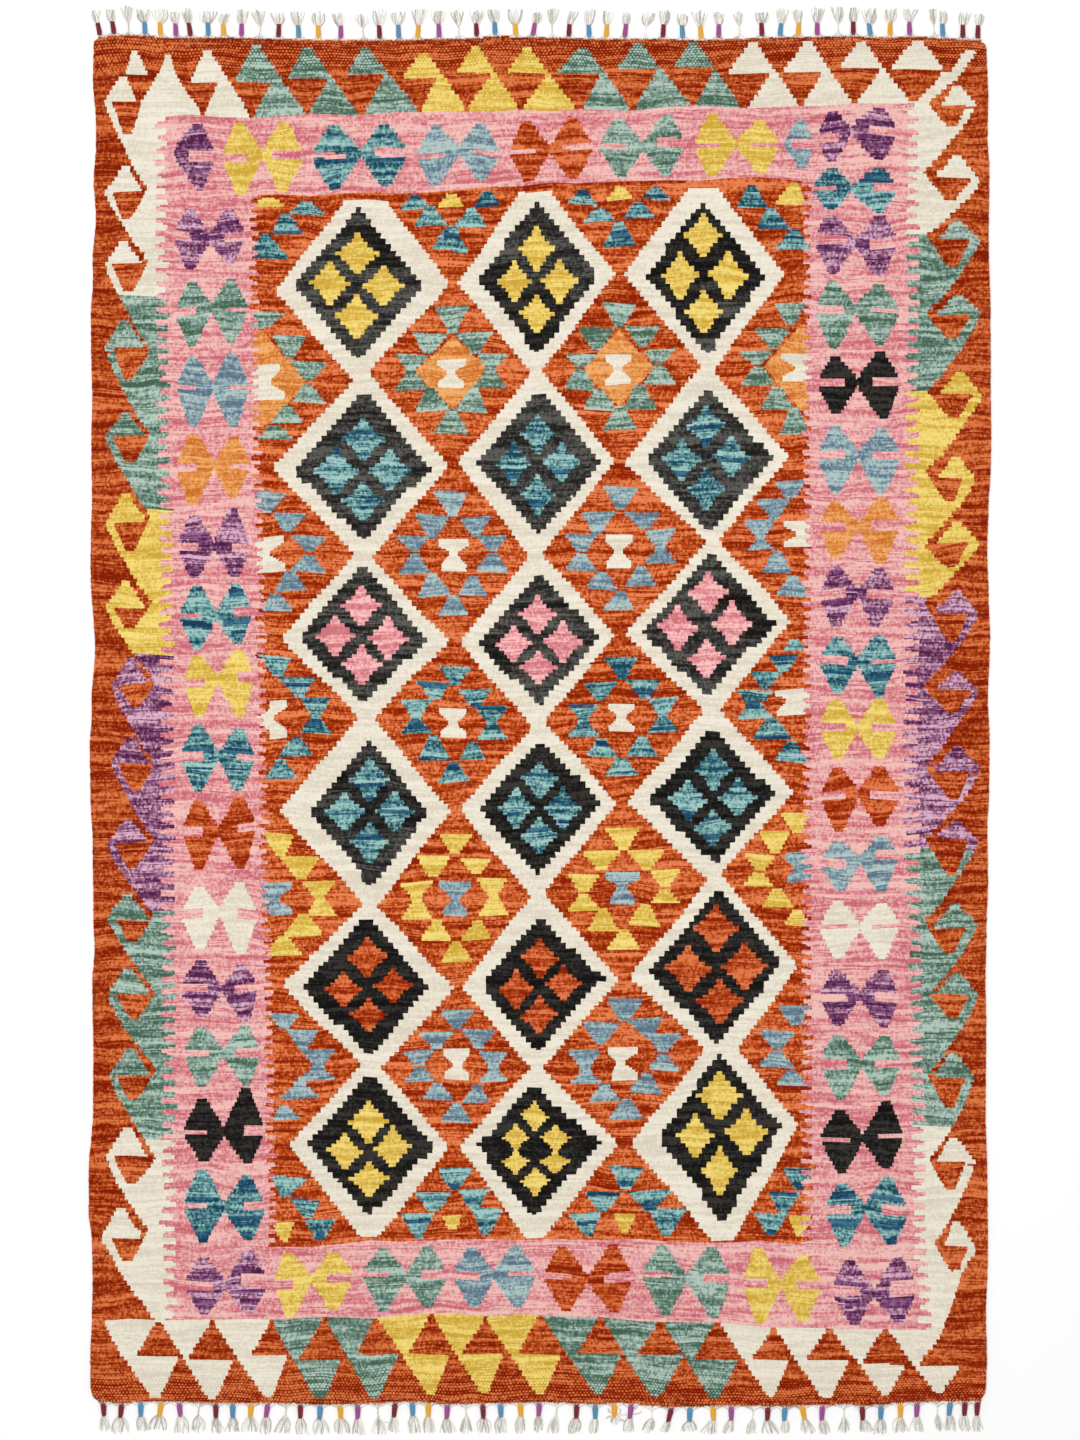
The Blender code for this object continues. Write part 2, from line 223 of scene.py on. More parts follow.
def fingers(ends, other_ends, period):
    """The edge between two skeins that turn back round each other's warps, like the teeth of a comb."""
    first = np.interp(row_y, *zip(*((y, x) for x, y in ends)))
    second = np.interp(row_y, *zip(*((y, x) for x, y in other_ends)))
    tooth = row_y / period
    rounding = np.clip(0.5 - TOOTH_SQUARENESS * np.sin(2 * math.pi * tooth), 0, 1)
    longer = hand.normal(0, TOOTH_STRAYING, 400)[np.floor(tooth * 2).astype(int)]
    return first + (second - first) * rounding + longer


lay("madder", np.ones(row_y.shape, bool))

# Outer border: latch hooks in white, sage, yellow and purple, their heads turned to the rug's edge. What
# lies under the pink border, which is laid later, ends at the first of these rows or begins at the other.
UNDER_PINK, OVER_PINK = 125, 1308
# Upper end, from left to right: the head's tip, its left corner and its heel, their row, and the tip of
# the madder tooth at its left.
UPPER_HOOKS = (
    ("white", 207, 51, 190, 218, 82.5, 203, 112), ("sage", 256, 46, 235, 272, 82, 252, 112),
    ("sage", 307, 48, 288, 329, 78, 308, 112), ("sage", 365, 49, 345, 384, 77, 362, 112),
    ("yellow", 423, 53, 403, 437, 78, 420, 108), ("yellow", 476, 47, 454, 491, 75, 467, 103),
    ("yellow", 527, 48, 505, 546, 76, 521, 107), ("sage", 583, 48, 556, 601, 73, 580, 110),
    ("sage", 638, 44, 615, 657, 72, 633, 105), ("sage", 693, 42, 672, 714, 70, 694, 104),
    ("white", 753, 43, 727, 771, 74, 745, 106), ("white", 808, 42, 784, 824, 71, 801, 103),
    ("white", 861, 42, 838, 880, 70, 855, 101),
)
LAST_TOOTH = (912, 100)
for hook, following in zip(UPPER_HOOKS, UPPER_HOOKS[1:] + ((None,) * 6 + LAST_TOOTH,)):
    yarn, tip_x, tip_y, corner_x, heel_x, base, tooth_x, tooth_y = hook
    next_x, next_y = following[6:]
    weave(
        yarn,
        [(tip_x - HALF_TIP, tip_y), (corner_x, base), (heel_x, base), (tooth_x + HALF_TIP, tooth_y),
         (tooth_x, UNDER_PINK)],
        [(tip_x + HALF_TIP, tip_y), (next_x - HALF_TIP - 1, next_y), (next_x, UNDER_PINK)],
        rise=5.2,
    )
# Upper left corner, in white.
weave("white", [(132, 51), (125, 76)], [(136, 51), (149, 76)], rise=5)
weave("white", [(166, 56), (160, 70.6), (152, 84.7), (142, 102), (142, UNDER_PINK)],
      [(170, 56), (178, 78), (188, 95), (200, 112), (202, UNDER_PINK)], rise=4.4)
# Upper right corner, in white: a head, and a diagonal band that it meets.
weave("white", [(914, 41), (902, 54), (890, 70)], [(922, 41), (933, 54), (939, 63), (944, 70)], rise=4.8)
weave("white", [(967, 50), (961, 56), (957, 63), (952, 70), (942, 72), (937, 81), (930, 88), (924, 94),
                (918, 101), (906, 102), (906, UNDER_PINK)],
      [(977, 50), (974, 56), (969, 63), (963, 71), (957, 79), (949, 86), (941, 92), (933, 98), (929, 103),
       (929, UNDER_PINK)], rise=4.4)

# Left side, going down: the head's tip, its base row, the stem's end, the tooth's sides, the tooth's
# tip, and the corner where the head meets the body. The right side is the same the other way round.
LEFT_HOOKS = (
    ("white", 123, 77, 102, 141, 103, 112, 137, 127, 134, 105, 104),
    ("white", 126, 166, 192, 147, 188, 113, 143, 126, 219, 105, 193),
    ("white", 123, 242, 264, 148, 260, 112, 143, 128, 293, 105, 266),
    ("sage", 124, 322, 347, 150, 349, 113, 146, 128, 379, 105, 352),
    ("sage", 126, 412, 436, 150, 432, 113, 146, 130, 464, 105, 438),
    ("yellow", 126, 495, 523, 150, 516, 114, 146, 130, 551, 106, 526),
    ("yellow", 126, 580, 606, 152, 600, 113, 146, 129, 629, 106, 610),
    ("purple", 131, 660, 685, 155, 682, 119, 148, 136, 708, 112, 690),
    ("purple", 131, 736, 763, 154, 760, 118, 150, 135, 791, 111, 765),
    ("purple", 128, 820, 842, 154, 840, 115, 148, 132, 868, 107, 845),
    ("sage", 127, 895, 918, 153, 913, 115, 150, 132, 942, 108, 922),
    ("sage", 128, 970, 993, 155, 990, 115, 150, 135, 1018, 109, 1000),
    ("sage", 130, 1048, 1073, 156, 1068, 115, 150, 133, 1100, 110, 1080),
    ("white", 128, 1130, 1157, 156, 1156, 114, 148, 131, 1184, 106, 1160),
    ("white", 121, 1208, 1237, 148, 1228, 111, 142, 127, 1261, 102, 1241),
)
LEFT_CHANGES = (("white", 102), ("sage", 297), ("yellow", 510), ("purple", 655), ("sage", 910),
                ("white", 1141), ("white", 1322))
RIGHT_HOOKS = (
    ("white", 957, 87, 105, 929, 102, 937, 967, 952, 127, 976, 108),
    ("white", 957, 157, 178, 924, 171, 932, 972, 950, 200, 979, 183),
    ("sage", 957, 221, 240, 927, 236, 935, 970, 953, 267, 981, 242),
    ("sage", 958, 295, 314.5, 927, 312, 932, 972, 952, 340, 981, 316),
    ("yellow", 960, 373, 395, 928, 391, 936, 973, 954, 420, 982, 398),
    ("yellow", 956, 455, 477, 926, 470, 934, 963, 950, 502, 974.5, 483),
    ("yellow", 957, 522, 543, 925, 543, 932, 969, 952, 570, 979, 548),
    ("purple", 957, 592, 612, 925, 602, 932, 969, 952, 641, 978, 616),
    ("purple", 957, 672, 690, 924, 686, 933, 972, 953, 713, 979, 692),
    ("purple", 957, 747, 770, 925, 765, 930, 970, 954, 800, 980, 774),
    ("purple", 957, 822, 840, 926, 840, 932, 968, 952, 875, 978, 844),
    ("sage", 955, 904, 925, 925, 920, 930, 968, 949, 951, 977.5, 927),
    ("sage", 957, 973, 997, 930, 996, 932, 968, 953, 1020, 980, 997),
    ("sage", 953, 1054, 1076, 928, 1074, 930, 966, 950, 1106, 974, 1081),
    ("white", 953, 1137, 1163, 930, 1160, 932, 966, 951, 1191, 975.5, 1166),
    ("white", 956, 1223, 1247, 935, 1243, 940, 968, 955, 1270, 976, 1251),
)
RIGHT_CHANGES = (("white", 104), ("sage", 236), ("yellow", 392), ("purple", 598), ("sage", 849),
                 ("white", 1126), ("white", 1335))
# The body's edge between two hooks, as shares of the way across and down, and how far along the channel
# behind a head its middle lies.
BODY_BEND = ((0.0, 0.0), (0.2, 0.26), (0.48, 0.55), (0.75, 0.81), (1.0, 1.0))
BOWL = 0.45


def side_border(hooks, changes, way, inner_x, last_bend):
    """The hooks up one side. way is 1 where the heads point left, and -1 where they point right."""
    edge = [(hooks[0][4], hooks[0][5])]
    for hook, following in zip(hooks, hooks[1:]):
        (x0, y0), (x1, y1) = hook[10:], following[4:6]
        edge += [(x0 + (x1 - x0) * across, y0 + (y1 - y0) * down) for across, down in BODY_BEND]
    edge += last_bend
    for (yarn, top), (_, bottom) in zip(changes, changes[1:]):
        ends = [top] + [p[1] for p in edge if top < p[1] < bottom] + [bottom]
        body = [(float(np.interp(y, [p[1] + 0.001 * i for i, p in enumerate(edge)],
                                 [p[0] for p in edge])), y) for y in ends]
        inner = [(inner_x, top), (inner_x, bottom)]
        weave(yarn, *((body, inner) if way == 1 else (inner, body)), rise=5.2)
    for hook in hooks:
        yarn, tip_x, tip_y, base, stem_x, stem_y = hook[:6]
        tooth_0, tooth_1, point_x, point_y, corner_x, corner_y = hook[6:]
        near, far = (tooth_0, tooth_1 - 1) if way == 1 else (tooth_1, tooth_0 + 5)
        outer = [(tip_x - way * HALF_TIP, tip_y), (corner_x, base), (corner_x, corner_y)]
        inner = [(tip_x + way * HALF_TIP, tip_y), (far, base - 1), (far, corner_y)]
        weave(yarn, *((outer, inner) if way == 1 else (inner, outer)), rise=4.8)
        # The madder tooth under the head, and the channel that joins it to the ground behind the head.
        bowl_x, bowl_y = stem_x + BOWL * (point_x - stem_x), stem_y + BOWL * (point_y - stem_y)
        first = min(stem_y, base)
        head_side = [(far, first), (far, base), (near, base), (point_x - way * 4, point_y)]
        body_side = [(stem_x, first), (stem_x, stem_y + 1), (bowl_x + way * HALF_TIP, bowl_y),
                     (point_x + way * 4, point_y)]
        weave("madder", *((head_side, body_side) if way == 1 else (body_side, head_side)), rise=3.6,
              bite=0.3)


side_border(LEFT_HOOKS, LEFT_CHANGES, 1, 190,
            [(101, 1241), (108, 1250), (113, 1258), (118, 1268), (124, 1279), (131, 1290), (139, 1300),
             (147, 1310), (154, 1320), (160, 1322)])
side_border(RIGHT_HOOKS, RIGHT_CHANGES, -1, 890,
            [(976, 1252), (968, 1262), (961, 1275), (957, 1290), (952, 1305), (945, 1325), (938, 1340)])

# Lower end, from left to right: the tooth's tip, its base, the base's row, and the head's tip.
LOWER_HOOKS = (
    ("white", 159, 1323, 135, 178, 1358, 151, 160, 1398),
    ("white", 213, 1327, 188, 234, 1359, 208, 216, 1399),
    ("white", 272, 1326, 249, 287, 1357, 265, 272, 1398),
    ("sage", 325, 1325, 299, 342, 1358, 315, 325, 1399),
    ("sage", 376, 1320, 356, 398, 1357, 371, 378, 1399),
    ("yellow", 432, 1320, 407, 449, 1356, 428, 434, 1396),
    ("yellow", 486, 1323, 460, 503, 1356, 481, 488, 1394),
    ("yellow", 541, 1319, 519, 562, 1353, 536, 544, 1394),
    ("sage", 601, 1323, 577, 622, 1354, 594, 603, 1394),
    ("sage", 661, 1324, 635, 684, 1355, 651, 661, 1396),
    ("sage", 718, 1327, 694, 739, 1359, 710, 719, 1398),
    ("white", 774, 1331, 752, 790, 1359, 769, 773, 1398),
    ("white", 830, 1331, 805, 849, 1360, 822, 831, 1399),
    ("white", 886, 1332, 863, 907, 1363, 883, 888, 1396),
)
LOWER_CORNER = [(105, 1320), (105, 1322), (108, 1330), (114, 1342), (121, 1355), (130, 1367), (139, 1380),
                (147, 1391), (151, 1398)]
before = None         # the tip of the tooth to the left
for yarn, tooth_x, tooth_y, tooth_0, tooth_1, base, point_0, point_1, point_y in LOWER_HOOKS:
    start, diagonal = LOWER_CORNER[0][1], LOWER_CORNER
    if before:
        start = OVER_PINK
        diagonal = [(before[0], start), (before[0] + HALF_TIP, before[1]), (point_0, point_y)]
    weave(yarn, diagonal, [(tooth_x, start), (tooth_x - HALF_TIP - 1, tooth_y), (tooth_0, base),
                           (tooth_1, base), (point_1, point_y)], rise=5.2)
    before = tooth_x, tooth_y
# Lower right corner: the last body runs on into a head that points down.
weave("white", [(886, OVER_PINK), (889, 1332), (936, 1394)],
      [(945, OVER_PINK), (945, 1325), (938, 1340), (930, 1350), (922, 1358), (920, 1363), (960, 1365),
       (958, 1370), (952, 1380), (945, 1388), (943, 1394)], rise=5.2)

# Inner border: pink, and meeting the outer one in comb-like turns of the weft.
pink_left = fingers([(156, 117), (157, 300), (160, 560), (162, 900), (163, 1250), (165, 1318)],
                    [(166, 117), (167, 300), (172, 560), (175, 900), (175, 1250), (176, 1318)], 12.2)
pink_right = fingers([(907, 110), (908, 300), (905, 560), (904, 800), (909, 950), (915, 1250), (919, 1330)],
                     [(918, 110), (919, 300), (918, 560), (919, 800), (922, 950), (927, 1250), (932, 1330)],
                     12.2)
in_pink = (row_number >= line_rows[1]) & (row_number < line_rows[6])
lay("pink", in_pink & (column_x > pink_left) & (column_x < pink_right))

# The field is a brighter madder.
field_left = fingers([(250.5, 190), (251, 300), (253, 450), (257, 570), (259, 750), (261, 900), (264, 950),
                      (269, 1250)],
                     [(257.5, 190), (258, 300), (260, 450), (264, 570), (266, 750), (268, 900), (271, 950),
                      (276, 1250)], 9.5)
field_right = fingers([(804, 190), (804, 570), (803, 900), (801, 1250)],
                      [(810, 190), (810, 570), (811, 900), (813, 1250)], 10.0)
in_field_rows = (row_number >= line_rows[2]) & (row_number < line_rows[5])
in_field = in_field_rows & (column_x > field_left) & (column_x < field_right)
lay("field madder", in_field)

# Bows on the pink: two diamonds side by side, joined at a bar, each with a notch in its outer side.
# For each half: its upper tip, its outer side, the notch's inner end and two rows, and its lower tip. Then
# comes the middle of the bar, or None where it lies halfway. A half that is None isn't there.
BOWS = (
    # Upper end, from left to right
    ("purple", None, (198, 125, 215, 189, 153, 161, 200, 190), (174, 153)),
    ("yellow", (239, 121, 223, 247, 153, 163, 241, 195), (283, 123, 303, 272, 152, 161, 282, 192),
     (263, 155)),
    ("teal", (334, 126, 313, 345, 152, 160, 335, 191), (384, 125, 408, 375, 149, 157, 385, 188), (361, 153)),
    ("blue", (436, 126, 417, 445, 152, 157, 434, 185), (481, 125, 500, 474, 151, 156, 482, 182), (459, 152)),
    ("red orange", (526, 121, 510, 536, 149, 155, 529, 182), (572, 118, 593, 563, 146, 152, 573, 180),
     (550, 149)),
    ("sage", (619, 117, 600, 628, 144, 151, 621, 178), (667, 116, 684, 657, 140, 148, 666, 176), (643, 146)),
    ("yellow", (712, 116, 695, 720, 142, 147, 712, 176), (760, 120, 779, 751, 142, 148, 761, 175),
     (736, 144)),
    ("blue", None, (801, 121, 813.5, 792, 140, 147, 803, 167), (785, 144)),
    ("purple", (832, 111, 819, 839, 133, 141, 831, 162), (880, 108, 896, 869, 126, 136, 879, 162),
     (851, 132)),
    ("teal", (832, 167, 813, 837, 185, 192, 831, 211), (880, 170, 897, 874, 185, 192, 880, 212), (851, 189)),
    # Left side, going down
    ("purple", (190, 208, 174, 190, 233, 240, 190, 270), (229, 210, 245, 225, 233, 240, 230, 265), None),
    ("sage", (192, 284, 176, 196, 308, 315, 192, 347), (231, 280, 248, 228, 306, 311, 231, 343), None),
    ("blue", (193, 357, 177, 196, 384, 391, 193, 427), (232, 353, 249, 229, 383, 390, 234, 428), None),
    ("light orange", (194, 435, 177, 197, 463, 472, 193, 505), (234, 438, 251, 230, 464, 468, 233, 499),
     None),
    ("purple", (194, 515, 178, 198, 542, 550, 194, 580), (233, 510, 250, 232, 542, 550, 235, 577), None),
    ("teal", (197, 587, 180, 200, 614, 620, 197, 648), (236, 584, 252, 234, 607, 616, 238, 645), None),
    ("yellow", (197, 655, 185, 205, 678, 686, 199, 717), (239, 650, 253, 238, 675, 684, 240, 716), None),
    ("teal", (198, 725, 181, 203, 753, 762, 198, 792), (240, 728, 255, 237, 754, 762, 238, 790), None),
    ("red orange", (198, 800, 182, 203, 829, 835, 199, 870), (239, 796, 256, 238, 824, 833, 241, 868), None),
    ("white", (199, 886, 182, 203, 910, 920, 200, 950), (240, 883, 257, 238, 912, 920, 241, 955), None),
    ("purple", (201, 961, 180, 208, 985, 993, 202, 1018), (242, 965, 257, 235, 985, 993, 246, 1020), None),
    ("sage", (201, 1028, 185, 210, 1049, 1057, 202, 1087), (245, 1025, 260, 236, 1049, 1057, 246, 1088),
     None),
    ("black", (202, 1098, 184, 207, 1128, 1136, 204, 1163), (246, 1090, 264, 244, 1127, 1135, 248, 1163),
     None),
    ("teal", (202, 1172, 184, 207, 1203, 1210, 203, 1242), (247, 1173, 265, 244, 1202, 1211, 248, 1242),
     None),
    ("purple", (203, 1257, 185, 213, 1281, 1288, 204, 1314), (249, 1252, 267, 241, 1277, 1288, 249, 1314),
     None),
    # Right side, going down
    ("purple", (831, 217, 815, 848, 237, 245, 833, 275), (880, 215, 898, 870, 238, 245, 879, 277), None),
    ("sage", (832, 282, 816, 844, 307, 315, 834, 347), (879, 286, 900, 871, 308, 314, 880, 347), None),
    ("black", (835, 356, 818, 845, 381, 388, 836, 416), (880, 354, 900, 873, 378, 384, 884, 417), None),
    ("blue", (835, 428, 818, 845, 453, 460, 835, 492), (882, 428, 900, 873, 452, 460, 881, 496), None),
    ("light orange", (835, 499, 820, 846, 522, 530, 835, 560), (882, 499, 900, 872, 522, 530, 880, 563),
     None),
    ("purple", (836, 567, 820, 846, 592, 598, 836, 628), (880, 567, 895, 867, 591, 599, 875, 627), None),
    ("teal", (837, 637, 820, 848, 657, 665, 837, 694), (879, 636, 897, 872, 658, 664, 879, 697), None),
    ("yellow", (836, 700, 820, 846, 724, 730, 838, 759), (879, 700, 897, 872, 724, 732, 880, 760), None),
    ("red orange", (837, 768, 820, 846, 793, 798, 839, 832), (880, 768, 900, 870, 791, 798, 880, 826), None),
    ("blue", (838, 842, 820, 846, 862, 869, 840, 892), (882, 836, 898, 876, 852, 859, 882, 892), None),
    ("white", (838, 901, 820, 847, 924, 930, 838, 958), (882, 903, 899, 872, 924, 930, 882, 960), None),
    ("purple", (836, 970, 820, 846, 993, 1000, 838, 1027), (884, 969, 898, 875, 991, 999, 884, 1028), None),
    ("sage", (838, 1037, 820, 847, 1060, 1067, 841, 1100), (885, 1036, 901, 875, 1059, 1066, 885, 1096),
     None),
    ("black", (840, 1110, 820, 850, 1136, 1141, 842, 1173), (886, 1102, 903, 878, 1132, 1139, 886, 1170),
     None),
    ("teal", (842, 1183, 825, 851, 1208, 1214, 844, 1246), (888, 1178, 908, 882, 1206, 1213, 892, 1246),
     None),
    ("purple", (850, 1260, 832, 860, 1288, 1295, 855, 1324), (898, 1259, 916, 890, 1284, 1295, 899, 1323),
     None),
    # Lower end, from left to right
    ("yellow", (288, 1252, 275, 293, 1279, 1287, 290, 1317), (333, 1251, 353, 327, 1273, 1281, 333, 1311),
     (312, 1280)),
    ("sage", (384, 1250, 363, 389, 1272, 1279, 383, 1311), (428, 1247, 447, 421, 1272, 1280, 428, 1309),
     None),
    ("blue", (472, 1248, 453, 480, 1272, 1279, 474, 1307), (516, 1246, 535, 508, 1272, 1280, 518, 1309),
     (494, 1275)),
    ("red orange", (562, 1247, 544, 572, 1276, 1281, 566, 1311), (613, 1245, 632, 604, 1274, 1281, 615, 1314),
     None),
    ("sage", (662, 1246, 642, 672, 1274, 1279, 665, 1316), (712, 1247, 731, 704, 1275, 1283, 714, 1320),
     None),
    ("yellow", (758, 1250, 743, 768, 1279, 1286, 760, 1322), (803, 1254, 821, 797, 1283, 1292, 803, 1323),
     None),
)
JOIN = 4            # squares above and below the middle of the bar
BOW_HALF_TIP = 4    # squares either side of a tip's middle
for yarn, left_half, right_half, join in BOWS:
    if join is None:
        join = ((left_half[0] + right_half[0]) / 2, (left_half[4] + right_half[5]) / 2)
    for half, way in ((left_half, 1), (right_half, -1)):
        if half is None:
            continue
        tip_x, tip_y, outer_x, notch_x, notch_0, notch_1, foot_x, foot_y = half
        tip = way * BOW_HALF_TIP
        outer = [(tip_x - tip, tip_y), (outer_x, notch_0), (notch_x, notch_0), (notch_x, notch_1),
                 (outer_x, notch_1), (foot_x - tip, foot_y)]
        inner = [(tip_x + tip, tip_y), (join[0], join[1] - JOIN), (join[0], join[1] + JOIN),
                 (foot_x + tip, foot_y)]
        weave(yarn, *((outer, inner) if way == 1 else (inner, outer)), rise=4.6)

